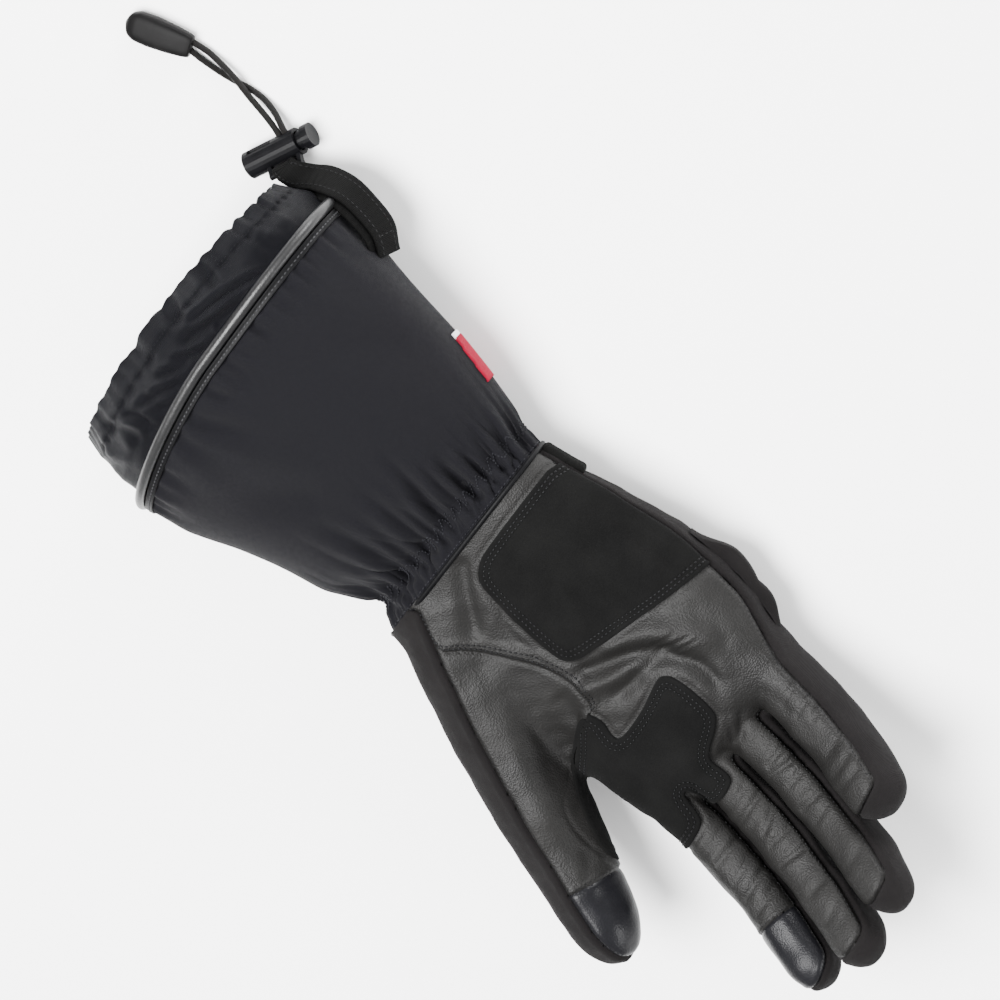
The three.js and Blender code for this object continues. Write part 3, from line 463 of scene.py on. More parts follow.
class Nodes:
    """A small helper for building one material's node tree."""

    def __init__(self, name):
        self.material = bpy.data.materials.new(name)
        self.material.use_nodes = True
        self.tree = self.material.node_tree
        self.shader = self.tree.nodes["Principled BSDF"]

    def add(self, kind, **settings):
        node = self.tree.nodes.new(kind)
        for key, value in settings.items():
            if key in node.inputs:
                node.inputs[key].default_value = value
            else:
                setattr(node, key, value)
        return node

    def link(self, a, b):
        self.tree.links.new(a, b)

    def coords(self, kind="Object"):
        return self.add("ShaderNodeTexCoord").outputs[kind]

    def noise(self, vector, scale, detail=3.0, roughness=0.55):
        node = self.add("ShaderNodeTexNoise", Scale=scale, Detail=detail, Roughness=roughness)
        self.link(vector, node.inputs["Vector"])
        return node.outputs["Fac"]

    def voronoi(self, vector, scale):
        node = self.add("ShaderNodeTexVoronoi", Scale=scale)
        self.link(vector, node.inputs["Vector"])
        return node.outputs["Distance"]

    def ramp(self, value, stops):
        node = self.add("ShaderNodeValToRGB")
        self.link(value, node.inputs["Fac"])
        for element, (place, color) in zip(node.color_ramp.elements, stops):
            element.position = place
            element.color = (*color, 1)
        return node.outputs["Color"]

    def grey(self, value, low, high):
        return self.ramp(value, [(0.3, (low,) * 3), (0.7, (high,) * 3)])

    def mixed(self, *parts):
        """The sum of values, each with its share."""
        total = None
        for value, share in parts:
            scaled = self.math("MULTIPLY", value, share)
            total = scaled if total is None else self.math("ADD", total, scaled)
        return total

    def math(self, operation, a, b):
        node = self.add("ShaderNodeMath", operation=operation)
        for socket, value in zip(node.inputs, (a, b)):
            if isinstance(value, (int, float)):
                socket.default_value = value
            else:
                self.link(value, socket)
        return node.outputs[0]

    def bump(self, height, distance, strength=1.0, after=None):
        node = self.add("ShaderNodeBump", Strength=strength, Distance=distance)
        self.link(height, node.inputs["Height"])
        if after is not None:
            self.link(after, node.inputs["Normal"])
        return node.outputs["Normal"]

    def wave(self, vector, scale, direction):
        node = self.add("ShaderNodeTexWave", bands_direction=direction, wave_profile="SIN", Scale=scale)
        self.link(vector, node.inputs["Vector"])
        return node.outputs["Fac"]

    def fill(self, **sockets):
        """Links or sets the shader's sockets, and gives the material."""
        for name, value in sockets.items():
            socket = self.shader.inputs[name.replace("_", " ")]
            if isinstance(value, bpy.types.NodeSocket):
                self.link(value, socket)
            else:
                socket.default_value = value
        return self.material


def leather_material(name, dark, light, rough, grain=1400, bump=0.00015, gloss=0.3):
    m = Nodes(name)
    at = m.coords()
    broad = m.noise(at, 38, 4)
    pebble = m.voronoi(at, grain)
    pores = m.noise(at, grain * 2.2, 2)
    fine = m.bump(pores, bump * 0.5, after=m.bump(pebble, bump))
    return m.fill(
        Base_Color=m.ramp(m.mixed((broad, 0.75), (pebble, 0.3)), [(0.25, dark), (0.75, light)]),
        Roughness=m.grey(broad, rough - 0.06, rough + 0.08),
        Normal=m.bump(m.noise(at, 420, 2), bump * 0.25, 0.4, after=fine),
        Specular_IOR_Level=gloss,
    )


def suede_material(name, dark, light):
    m = Nodes(name)
    at = m.coords()
    nap = m.noise(at, 1500, 3, 0.7)
    broad = m.noise(at, 55, 4)
    return m.fill(
        Base_Color=m.ramp(m.mixed((broad, 0.6), (nap, 0.4)), [(0.3, dark), (0.7, light)]),
        Normal=m.bump(nap, 0.0002, 0.9),
        Roughness=0.95, Sheen_Weight=0.008, Sheen_Roughness=0.6, Specular_IOR_Level=0.02,
    )


def cloth_material(
    name, dark, light, kind="Object", thread=1200, rough=0.85, sheen=0.05, ribs=0.0, specular=0.2
):
    m = Nodes(name)
    at = m.coords(kind)
    weave = m.math("MULTIPLY", m.math("ADD", m.wave(at, thread, "X"), m.wave(at, thread, "Y")), 0.5)
    speck = m.noise(at, thread * 0.5, 2)
    broad = m.noise(at, 30, 4)
    normal = m.bump(m.math("ADD", weave, speck), CLOTH_BUMP)
    if ribs:
        normal = m.bump(m.wave(at, ribs, "Y"), CLOTH_BUMP * 2.0, after=normal)
    tone = m.mixed((broad, 0.55), (speck, 0.3), (weave, 0.15))
    return m.fill(
        Base_Color=m.ramp(tone, [(0.32, dark), (0.68, light)]),
        Normal=normal,
        Roughness=m.grey(speck, rough - 0.07, min(rough + 0.07, 1)),
        Sheen_Weight=sheen, Sheen_Roughness=0.5, Specular_IOR_Level=specular,
    )


def moulded_material(name, dark, light, rough, gloss):
    m = Nodes(name)
    at = m.coords()
    wear = m.noise(at, 90, 4)
    return m.fill(
        Base_Color=m.ramp(wear, [(0.35, dark), (0.7, light)]),
        Normal=m.bump(m.noise(at, 700, 3), 0.00004),
        Roughness=m.grey(wear, rough - 0.05, rough + 0.08),
        Specular_IOR_Level=gloss,
    )


LEATHER = leather_material(
    "black_leather", (0.002, 0.0019, 0.0018), (0.0054, 0.0051, 0.0048), 0.5, gloss=0.13
)
TOUCH = leather_material(
    "touch_leather", (0.0026, 0.0026, 0.0032), (0.005, 0.005, 0.006), 0.32, 1500, 0.00006, 0.1
)
PIPING = leather_material(
    "grey_piping", (0.0034, 0.0034, 0.0036), (0.0068, 0.0068, 0.007), 0.36, 1200, 0.00005, 0.26
)
FLANGE = leather_material(
    "dark_flange", (0.0012, 0.0012, 0.0014), (0.0025, 0.0025, 0.0028), 0.45, 1200, 0.00005, 0.05
)
SUEDE = suede_material("charcoal_suede", (0.0018, 0.0018, 0.0018), (0.004, 0.004, 0.0039))
HOOKLOOP = suede_material("loop_tape", (0.0015, 0.0015, 0.0015), (0.0045, 0.0045, 0.0043))
SOFTSHELL = cloth_material(
    "sleeve_softshell", (0.0016, 0.0015, 0.0022), (0.0036, 0.0035, 0.0048),
    "UV", 1.1, 0.72, 0.012, specular=0.06,
)
CHARCOAL = cloth_material(
    "hand_softshell", (0.0036, 0.0032, 0.0033), (0.0066, 0.0059, 0.006), specular=0.04, sheen=0.012
)
NYLON = cloth_material(
    "ribbed_nylon", (0.0017, 0.0017, 0.0027), (0.0046, 0.0046, 0.0064),
    "UV", 1.6, 0.42, 0.008, 1.0, specular=0.06,
)
WEBBING = cloth_material(
    "woven_webbing", (0.0012, 0.0012, 0.0012), (0.0032, 0.0032, 0.0031),
    "UV", 0.6, 0.8, 0.006, 0.5, specular=0.03,
)
CORD = cloth_material(
    "braided_cord", (0.0025, 0.0022, 0.0021), (0.006, 0.0054, 0.0051), "UV", 1.4, 0.6, 0.01, specular=0.08
)
MARGIN = cloth_material(
    "pale_tape", (0.5, 0.49, 0.5), (0.62, 0.61, 0.62), "Object", 900, 0.7, 0.0, specular=0.05
)
LABEL = cloth_material(
    "pink_tape", (0.13, 0.002, 0.012), (0.18, 0.003, 0.017), "Object", 900, 0.7, 0.0, specular=0.05
)
PLASTIC = moulded_material("lock_plastic", (0.0018, 0.0018, 0.0021), (0.0034, 0.0034, 0.004), 0.38, 0.05)
RUBBER = moulded_material("pull_rubber", (0.0018, 0.0017, 0.0018), (0.0036, 0.0034, 0.0035), 0.46, 0.045)
THREAD = moulded_material("dark_thread", (0.0016, 0.0016, 0.0018), (0.004, 0.004, 0.0045), 0.45, 0.1)
PALE_THREAD = moulded_material("navy_thread", (0.0045, 0.0045, 0.0056), (0.0095, 0.0095, 0.0115), 0.5, 0.07)
GREY_THREAD = moulded_material("grey_thread", (0.012, 0.012, 0.013), (0.03, 0.03, 0.032), 0.45, 0.12)

# Floor, light and camera
FLOOR_HALF = 6
FLOOR_GREY = 0.97
WORLD_STRENGTH = 1.3
floor_corners = [(x * FLOOR_HALF, y * FLOOR_HALF, 0) for x, y in ((-1, -1), (1, -1), (1, 1), (-1, 1))]
floor_mesh = bpy.data.meshes.new("floor")
floor_mesh.from_pydata(floor_corners, [], [(0, 1, 2, 3)])
floor = add_object("floor", floor_mesh)
pale = bpy.data.materials.new("pale_floor")
pale.use_nodes = True
pale_sockets = pale.node_tree.nodes["Principled BSDF"].inputs
pale_sockets["Base Color"].default_value = (FLOOR_GREY, FLOOR_GREY, FLOOR_GREY, 1)
pale_sockets["Roughness"].default_value = 0.9
floor_mesh.materials.append(pale)
world = bpy.data.worlds.new("studio")
world.use_nodes = True
world.node_tree.nodes["Background"].inputs["Color"].default_value = (1, 1, 1, 1)
world.node_tree.nodes["Background"].inputs["Strength"].default_value = WORLD_STRENGTH
bpy.context.scene.world = world


def area_light(name, place, aim, size, power):
    light = bpy.data.lights.new(name, "AREA")
    light.shape = "DISK"
    light.size = size
    light.energy = power
    obj = add_object(name, light)
    obj.location = place
    obj.rotation_euler = (aim - place).to_track_quat("-Z", "Y").to_euler()


CAMERA_UP = np.cross(CAMERA_AWAY, CAMERA_RIGHT)
aim_at = Vector(((AIM + ORIGIN) * MM).tolist())


def from_view(right, up, away):
    way = CAMERA_RIGHT * right + CAMERA_UP * up + CAMERA_AWAY * away
    return Vector(way.tolist()) + aim_at


# Lights: place as the camera sees it, right, up and towards it, in metres from the aim; size and power
area_light("key", from_view(-0.65, -0.35, 0.95), aim_at, 0.9, 88)
area_light("fill", from_view(0.3, 1.0, 0.8), aim_at, 0.6, 40)
area_light("rim", from_view(1.0, -0.5, 0.6), aim_at, 0.4, 14)
camera_data = bpy.data.cameras.new("camera")
camera_data.sensor_width = SENSOR_WIDTH
camera_data.lens = SENSOR_WIDTH * CAMERA_DISTANCE / VIEW_WIDTH
camera_data.clip_start = 0.05
camera = add_object("camera", camera_data)
away = Vector(CAMERA_AWAY.tolist()).normalized()
right = Vector(CAMERA_RIGHT.tolist())
right = (right - away * right.dot(away)).normalized()
up = away.cross(right)
turn = Matrix((right, up, away)).transposed()
camera.matrix_world = Matrix.Translation(aim_at + away * (CAMERA_DISTANCE * MM)) @ turn.to_4x4()
bpy.context.scene.camera = camera

# Cords and their pull: routes in metres from the wrist seam, as in the solids
CORD_ROUTES = {
    "a": [
        (-0.0555, -0.1275, 0.0125), (-0.058, -0.129, 0.0095), (-0.0623, -0.1313, 0.0064),
        (-0.0665, -0.1326, 0.0055), (-0.06976, -0.13527, 0.00545), (-0.07272, -0.14161, 0.00545),
        (-0.07568, -0.14795, 0.00545), (-0.077, -0.153, 0.0048), (-0.078, -0.158, 0.0043),
        (-0.0793, -0.164, 0.0041), (-0.0811, -0.1705, 0.0041), (-0.082, -0.177, 0.0033),
        (-0.0822, -0.184, 0.0021), (-0.0821, -0.1882, 0.0021), (-0.0817, -0.1925, 0.0023),
    ],
    "b": [
        (-0.0575, -0.1245, 0.0128), (-0.0605, -0.126, 0.0095), (-0.065, -0.1283, 0.0064),
        (-0.0696, -0.13, 0.0055), (-0.0722, -0.13413, 0.00545), (-0.07516, -0.14047, 0.00545),
        (-0.07812, -0.14681, 0.00545), (-0.0799, -0.1525, 0.0032), (-0.0808, -0.1585, 0.0016),
        (-0.0806, -0.165, 0.00135), (-0.0795, -0.171, 0.00135), (-0.0785, -0.178, 0.00135),
        (-0.0781, -0.185, 0.0015), (-0.0782, -0.1888, 0.0018), (-0.0786, -0.1925, 0.0023),
    ],
}
PULL_HEADING = math.radians(-72)


def strand_piece(name, line, node):
    sides = 14
    radius = CORD_DIAMETER / 2
    run = np.gradient(line, axis=0)
    run /= np.linalg.norm(run, axis=1)[:, None]
    side = np.cross(run, [0, 0, 1])
    side /= np.linalg.norm(side, axis=1)[:, None]
    top_way = np.cross(side, run)
    length = path_length(line)
    a = circle(sides)
    braid = 0.07 * radius * np.cos(4 * a) * np.cos(length[:, None] * 2.2)
    around = np.cos(a)[:, None] * side[:, None] + np.sin(a)[:, None] * top_way[:, None]
    verts, tris = capped(line[:, None] + (radius + braid)[..., None] * around)
    if looks_back(verts, tris, verts - np.concatenate([np.repeat(line, sides, axis=0), line[[0, -1]]])):
        tris = tris[:, ::-1]
    uv = np.stack([np.tile(a * radius, len(line)), np.repeat(length, sides)], axis=1)
    uv = np.concatenate([uv, [[0, 0], [0, length[-1]]]])
    return finish_piece(make_object(name, verts, tris, CORD, uv=uv), "elastic_cord", node)


# The pull: shares of its length, and of its width and thickness there
PULL_LENGTH = 26.5
PULL_WIDTH = 12.0
PULL_THICKNESS = 7.0
PULL_OVERLAP = 0.9
PULL_POWER = 3.4
PULL_WIDTHS = (
    (0, 0.7), (0.08, 0.8), (0.3, 0.92), (0.62, 1), (0.82, 0.95), (0.93, 0.74), (0.98, 0.44), (1, 0.02),
)
PULL_DEPTHS = ((0, 0.62), (0.05, 0.72), (0.5, 0.96), (0.85, 0.9), (0.96, 0.6), (1, 0.1))


def pull_piece():
    ends = np.array([route[-1] for route in CORD_ROUTES.values()]) / MM
    away = np.array([math.cos(PULL_HEADING), math.sin(PULL_HEADING), 0])
    across = np.array([-away[1], away[0], 0])
    start = ends.mean(axis=0) - away * PULL_OVERLAP
    start[2] = 0.2 + PULL_THICKNESS / 2
    rings = []
    for t in np.linspace(0, 1, 60):
        body = np.interp(t, *zip(*PULL_WIDTHS)) * PULL_WIDTH / 2
        deep = np.interp(t, *zip(*PULL_DEPTHS)) * PULL_THICKNESS / 2
        u, v = rounded_point(circle(48), body, deep, PULL_POWER)
        rings.append(start + away * t * PULL_LENGTH + u[:, None] * across + v[:, None] * np.array([0, 0, 1]))
    verts, tris = capped(smooth_chain(np.array(rings)))
    if looks_back(verts, tris, verts - np.mean(rings, axis=(0, 1))):
        tris = tris[:, ::-1]
    return finish_piece(make_object("moulded_pull", verts, tris, RUBBER), "pull_rubber", "cord_pull")


pull = pull_piece()
for strand, route in CORD_ROUTES.items():
    line = spline(np.array(route) / MM, 140)
    piece = strand_piece(f"strand_{strand}", line, f"cord_{strand}")

# Hand body and digits, as in the solids
HAND_ROWS = np.array([
    # along, centre, half, height, deep: shares of the palm's length, width and depth
    (-0.1, 0.0, 0.48, 0.564, 0.54),
    (0.0, 0.0, 0.48, 0.564, 0.54),
    (0.112, -0.01, 0.49, 0.564, 0.528),
    (0.256, -0.03, 0.505, 0.525, 0.53),
    (0.48, -0.062, 0.515, 0.5, 0.535),
    (0.56, -0.061, 0.513, 0.485, 0.53),
    (0.62, -0.06, 0.51, 0.495, 0.54),
    (0.7, -0.056, 0.505, 0.49, 0.53),
    (0.824, -0.04, 0.478, 0.522, 0.5),
    (0.912, -0.025, 0.452, 0.53, 0.45),
    (0.968, -0.022, 0.42, 0.54, 0.35),
    (1.0, -0.022, 0.335, 0.547, 0.17),
    (1.06, -0.022, 0.3, 0.547, 0.1),
])
HAND_POWER = 2.5
BACK_ROUNDING = 3.0
HAND_AT = np.arange(-12, 134, 0.5)
# For each column of the rows: where it starts, its full size, and the width of the smoothing
HAND_SCALES = ((0, PALM_WIDTH, 3), (0, PALM_WIDTH, 2), (BACK_CLEAR, PALM_DEPTH, 3), (0, PALM_DEPTH, 2))
hand_table = [
    smooth_table(HAND_ROWS[:, 0] * PALM_LENGTH, start + HAND_ROWS[:, k] * size, HAND_AT, width)
    for k, (start, size, width) in enumerate(HAND_SCALES, 1)
]


def hand_row(y):
    """The hand's section at y: middle, half width, height of the middle, half depth."""
    return [np.interp(y, HAND_AT, column) for column in hand_table]


def hand_field(p):
    x, y, z = p[..., 0], p[..., 1], p[..., 2]
    xc, a, zc, b = hand_row(y)
    d = radial(x - xc, z - zc, a, b, HAND_POWER)
    d = -blend_min(-d, z - BACK_CLEAR, BACK_ROUNDING)
    return np.maximum(d, y - PALM_LENGTH - 1)


FINGERS = ("index", "middle", "ring", "little")
DIGIT_FIELDS = ("across", "along", "height", "length", "width", "depth", "turn", "rise", "roll", "seam")
DIGIT_ROWS = {
    # The root as shares of the palm, sizes, turn and rise from root to tip, roll,
    # and the seam at both sides as shares of half the depth
    "index": (0.306, 0.856, 0.51, 107, 21.5, 24, (2, 6), (2, 34), 4, (0.45, -0.35)),
    "middle": (0.091, 0.856, 0.515, 116, 21.5, 24, (0.5, 3), (2, 43), 2, (0.6, 0.2)),
    "ring": (-0.122, 0.856, 0.51, 110, 21.5, 24, (-0.5, 1), (2, 44), -2, (0.66, 0.2)),
    "little": (-0.36, 0.8, 0.49, 90, 24.4, 26, (-1, 2), (2, 43), -8, (0.72, 0.2)),
    "thumb": (0.25, 0.04, 0.578, 156, 40, 36, (31, 17.5), (0, 16), 62, (-0.1, 0.45)),
}
DIGITS = {name: dict(zip(DIGIT_FIELDS, row)) for name, row in DIGIT_ROWS.items()}
FINGER_PROFILE = np.array([
    # along, width, depth
    (0, 0.97, 1), (0.2, 0.97, 1), (0.36, 0.97, 0.96), (0.46, 1, 0.985), (0.6, 0.965, 0.93),
    (0.72, 0.98, 0.935), (0.84, 0.95, 0.875), (1.0, 0.9, 0.82),
])
THUMB_PROFILE = np.array([
    (0, 0.95, 0.9), (0.14, 1.05, 1), (0.3, 1.04, 1.02), (0.45, 0.99, 0.99), (0.6, 0.9, 0.92),
    (0.72, 0.8, 0.84), (0.82, 0.72, 0.77), (0.91, 0.66, 0.72), (1.0, 0.6, 0.66),
])
DOME_START = 0.87
DIGIT_POWER = 2.35
SHARES = np.linspace(0, 1, 81)


def digit_axes(digit, share):
    turn, rise = (np.radians(low + (high - low) * share) for low, high in (digit["turn"], digit["rise"]))
    along = np.stack([np.sin(turn) * np.cos(rise), np.cos(turn) * np.cos(rise), np.sin(rise)], -1)
    level = np.stack([np.cos(turn), -np.sin(turn), np.zeros_like(turn)], -1)
    roll = math.radians(digit["roll"])
    side = level * math.cos(roll) + np.cross(along, level) * math.sin(-roll)
    return along, side, np.cross(side, along)


def digit_line(digit):
    middle_shares = (SHARES[:-1] + SHARES[1:]) / 2
    steps = digit_axes(digit, middle_shares)[0] * np.diff(SHARES)[:, None] * digit["length"]
    height = BACK_CLEAR + digit["height"] * PALM_DEPTH
    start = [digit["across"] * PALM_WIDTH, digit["along"] * PALM_LENGTH, height]
    return np.concatenate([[start], start + np.cumsum(steps, axis=0)])


digit_lines = {name: digit_line(digit) for name, digit in DIGITS.items()}


def digit_sizes(name, share):
    """Half the width and half the depth of a digit at a share of its length."""
    digit = DIGITS[name]
    rows = THUMB_PROFILE if name == "thumb" else FINGER_PROFILE
    at = np.linspace(-0.1, 1.1, 241)
    x = np.clip((share - DOME_START) / (1 - DOME_START), 0, 1)
    dome = np.maximum((1 - x**2.3) ** 0.5, 0.02)
    return [
        np.interp(share, at, smooth_table(rows[:, 0], rows[:, k], at, 0.025)) * digit[size] / 2 * dome
        for k, size in ((1, "width"), (2, "depth"))
    ]


def digit_field(name, p, full=False):
    """Distance to a digit's skin, and with full its share, u and v too."""
    digit = DIGITS[name]
    line = digit_lines[name]
    flat = p.reshape(-1, 3)
    best = np.full(len(flat), 1e18)
    pick = np.zeros(len(flat), dtype=int)
    for k in range(0, len(line), 2):
        d = ((flat - line[k]) ** 2).sum(axis=1)
        closer = d < best
        best[closer] = d[closer]
        pick[closer] = k
    along = digit_axes(digit, SHARES[pick])[0]
    share = SHARES[pick] + ((flat - line[pick]) * along).sum(axis=1) / digit["length"]
    held = np.clip(share, 0, 1)
    centre = np.stack([np.interp(held, SHARES, line[:, i]) for i in range(3)], axis=1)
    along, side, pad = digit_axes(digit, held)
    rel = flat - centre
    w = (rel * along).sum(axis=1)
    u = (rel * side).sum(axis=1)
    v = (rel * pad).sum(axis=1)
    half, deep = digit_sizes(name, held)
    d = radial(u, v, half, deep, DIGIT_POWER)
    d = np.where(share > 1, np.sqrt(np.maximum(d, 0) ** 2 + w**2), d)
    d = np.where(share < 0, np.maximum(d, 0) + np.abs(w) * 0.7, d)
    shape = p.shape[:-1]
    if full:
        return d.reshape(shape), share.reshape(shape), u.reshape(shape), v.reshape(shape)
    return d.reshape(shape)


# Skin of the hand: one surface over the body and its digits
STEP = 0.85
GRID_LOW = np.array([-68.0, -1.5, 0.0])
GRID_HIGH = np.array([100.0, 220.0, 75.0])
BODY_HIGH = np.array([62, 132, 46])
FINGER_REACH = 17
THUMB_REACH = 26
FAR = 30.0
FINGER_BLEND = 5.0
THUMB_BLEND = 9.0


def hand_skin():
    counts = np.ceil((GRID_HIGH - GRID_LOW) / STEP).astype(int)
    axes = [GRID_LOW[i] + STEP * np.arange(counts[i]) for i in range(3)]

    def region(low, high):
        """The grid's part round a box: its index and its points."""
        first = np.maximum(((low - GRID_LOW) / STEP).astype(int), 0)
        last = np.minimum(((high - GRID_LOW) / STEP).astype(int) + 2, counts)
        index = tuple(slice(a, b) for a, b in zip(first, last))
        grid = np.meshgrid(*[axis[part] for axis, part in zip(axes, index)], indexing="ij")
        return index, np.stack(grid, axis=-1)

    body, fingers, thumb = (np.full(tuple(counts), FAR, dtype=np.float32) for _ in range(3))
    index, grid = region(GRID_LOW, BODY_HIGH)
    body[index] = hand_field(grid)
    for name in FINGERS:
        line = digit_lines[name]
        index, grid = region(line.min(axis=0) - FINGER_REACH, line.max(axis=0) + FINGER_REACH)
        fingers[index] = np.minimum(fingers[index], digit_field(name, grid))
    line = digit_lines["thumb"]
    index, grid = region(line.min(axis=0) - THUMB_REACH, line.max(axis=0) + THUMB_REACH)
    thumb[index] = digit_field("thumb", grid)
    field = blend_min(blend_min(body, fingers, FINGER_BLEND), thumb, THUMB_BLEND)
    slope = np.stack(np.gradient(field, STEP), axis=0)
    return surface_net(field / np.maximum(np.sqrt((slope**2).sum(axis=0)), 0.35))


def surface_net(field):
    """Vertices and triangles where a field on the grid is zero, with the grid's steps relaxed out."""
    nx, ny, nz = field.shape
    corner = {
        (i, j, k): field[i : nx - 1 + i, j : ny - 1 + j, k : nz - 1 + k]
        for i in (0, 1)
        for j in (0, 1)
        for k in (0, 1)
    }
    low = np.minimum.reduce(list(corner.values()))
    high = np.maximum.reduce(list(corner.values()))
    mask = (low < 0) & (high >= 0)
    cells = np.argwhere(mask)
    number = np.full(mask.shape, -1, dtype=np.int64)
    number[mask] = np.arange(len(cells))
    values = {c: corner[c][mask] for c in corner}
    total = np.zeros((len(cells), 3))
    count = np.zeros(len(cells))
    for c in corner:
        for axis in range(3):
            if c[axis]:
                continue
            d = list(c)
            d[axis] = 1
            a, b = values[c], values[tuple(d)]
            hit = (a < 0) != (b < 0)
            t = a[hit] / (a[hit] - b[hit])
            point = np.tile(np.array(c, dtype=float), (hit.sum(), 1))
            point[:, axis] += t
            total[hit] += point
            count[hit] += 1
    verts = GRID_LOW + STEP * (cells + total / count[:, None])
    quads = []
    for axis in range(3):
        p, q = (i for i in range(3) if i != axis)
        inside = np.moveaxis(field, axis, 0) < 0
        a, b = (np.moveaxis(part, 0, axis) for part in (inside[:-1], inside[1:]))
        for rising in (True, False):
            hits = np.argwhere((a & ~b) if rising else (~a & b))
            hits = hits[(hits[:, p] > 0) & (hits[:, q] > 0)]
            hits = hits[(hits[:, p] < field.shape[p] - 1) & (hits[:, q] < field.shape[q] - 1)]
            ring = []
            for dp, dq in ((0, 0), (1, 0), (1, 1), (0, 1)):
                cell = hits.copy()
                cell[:, p] -= dp
                cell[:, q] -= dq
                ring.append(number[cell[:, 0], cell[:, 1], cell[:, 2]])
            quad = np.stack(ring, axis=1)
            flip = rising == (axis == 1)
            quads.append(quad[:, ::-1] if flip else quad)
    quads = np.concatenate(quads)
    quads = quads[(quads >= 0).all(axis=1)]
    tris = triangles(quads)
    # Relax a little, and back, to take the grid's steps out without shrinking
    edges = np.concatenate([quads[:, [0, 1]], quads[:, [1, 2]], quads[:, [2, 3]], quads[:, [3, 0]]])
    edges = np.unique(np.sort(edges, axis=1), axis=0)
    degree = np.bincount(edges.ravel(), minlength=len(verts)).astype(float)
    for amount in 3 * (0.5, -0.53):
        mean = np.zeros_like(verts)
        np.add.at(mean, edges[:, 0], verts[edges[:, 1]])
        np.add.at(mean, edges[:, 1], verts[edges[:, 0]])
        mean /= np.maximum(degree, 1)[:, None]
        verts = verts + amount * (mean - verts)
    return verts, tris


skin, skin_tris = hand_skin()
if looks_back(skin, skin_tris, skin - skin.mean(axis=0)):
    skin_tris = skin_tris[:, ::-1]

# Seams as functions that are zero on the seam
PALM_SEAM = np.array([
    # along, height on the little-finger side, height on the thumb side
    (-0.1, 0.58, 1.12), (0.16, 0.62, 1.1), (0.48, 0.66, 0.74), (0.8, 0.66, 0.43), (1.1, 0.66, 0.43),
])
# How far the leather stops short of each tip, as a share of the digit's depth
TIP_SHORT = {"index": 0.25, "middle": 0.4, "ring": 0.4, "little": 0.4, "thumb": 0.0}


def skin_values(p):
    """Everything that the seams and folds need to know at points on the skin."""
    body = hand_field(p)
    fields = {name: digit_field(name, p, full=True) for name in DIGITS}
    fingers = np.stack([fields[name][0] for name in FINGERS])
    nearest = np.argmin(fingers, axis=0)
    finger = np.min(fingers, axis=0)
    along = p[:, 1] / PALM_LENGTH
    across = (p[:, 0] / (PALM_WIDTH / 2) + 1) / 2
    little = np.interp(along, PALM_SEAM[:, 0], PALM_SEAM[:, 1])
    thumb = np.interp(along, PALM_SEAM[:, 0], PALM_SEAM[:, 2])
    hand_seam = p[:, 2] - (BACK_CLEAR + PALM_DEPTH * (little + (thumb - little) * across))

    def digit_seam(name):
        digit = DIGITS[name]
        _, share, u, v = fields[name]
        low, high = (side * digit["depth"] / 2 for side in digit["seam"])
        cross = np.clip(u / digit["width"], -1, 1)
        short = TIP_SHORT[name] * digit["depth"] * smoothstep(share, 0.9, 1.03)
        return v - (low + high) / 2 - (high - low) * cross - short

    finger_seam = np.choose(nearest, [digit_seam(name) for name in FINGERS])
    w = smoothstep(body - finger, -16, 6) * smoothstep(p[:, 1], 70, 126)
    seam = hand_seam * (1 - w) + finger_seam * w
    rest = np.minimum(body, finger)
    w_thumb = smoothstep(rest - fields["thumb"][0], -3, 3)
    seen_y, seen_x = seen(p)
    return {
        "leather": seam * (1 - w_thumb) + digit_seam("thumb") * w_thumb,
        "finger": finger,
        "nearest": nearest,
        "share": np.choose(nearest, [fields[name][1] for name in FINGERS]),
        "thumb": fields["thumb"][0],
        "thumb_share": fields["thumb"][1],
        "rest": rest,
        "seen_y": seen_y,
        "seen_x": seen_x,
    }


# Lines drawn as the camera sees them: (along the glove, across it)
THUMB_SEAM = np.array([
    (-6, 50), (8, 46.5), (15, 42), (22, 34.5), (30, 29), (40, 24), (50, 20.3), (60, 18.2), (68, 18.3),
    (75, 20.5), (82, 28), (92, 42),
])
GUSSET = [
    (74, 24), (74, 31), (79, 39), (86, 46), (96, 53), (107, 58.6), (114, 60), (120, 58), (122, 52), (100, 38),
    (86, 27),
]
HEEL = [
    (7.5, -60), (7.5, -2), (9, 5), (15, 11), (52, 14.5), (58, 12.5), (61.5, 5), (74.5, -38), (78, -60),
]
GRIP = [
    (72, 24), (75, 22.5), (81, 21.5), (87, 24), (90.5, 23), (90, 10), (87.5, 0), (87, -5), (92, -8),
    (111, -7), (115, -3), (118, 6), (121, 9), (130, 8.3), (133, 11), (133.5, 20), (128, 22), (120.5, 22.5),
    (121, 25), (130, 27), (133.5, 29), (135, 40), (134, 60), (90, 60), (84, 42), (74, 29),
]


def leather_value(v):
    """Positive on the leather of the front."""
    return v["leather"]


def thumb_value(v):
    """Positive on the thumb's own panels."""
    line = rounded(THUMB_SEAM, closed=False)
    curve = v["seen_x"] - np.interp(v["seen_y"], line[:, 0], line[:, 1])
    w = smoothstep(v["leather"], -2, 4) * (1 - smoothstep(v["seen_y"], 74, 84))
    return curve * w + (v["rest"] - v["thumb"]) * (1 - w)


NOT_THERE = -9.0
INDEX_CAP_FROM = 0.715
THUMB_CAP_FROM = 0.795


def index_cap_value(v):
    """Positive on the cap of the index finger."""
    on_index = (v["nearest"] == 0) & (v["finger"] < 2.5)
    return np.where(on_index, (v["share"] - INDEX_CAP_FROM) * DIGITS["index"]["length"], NOT_THERE)


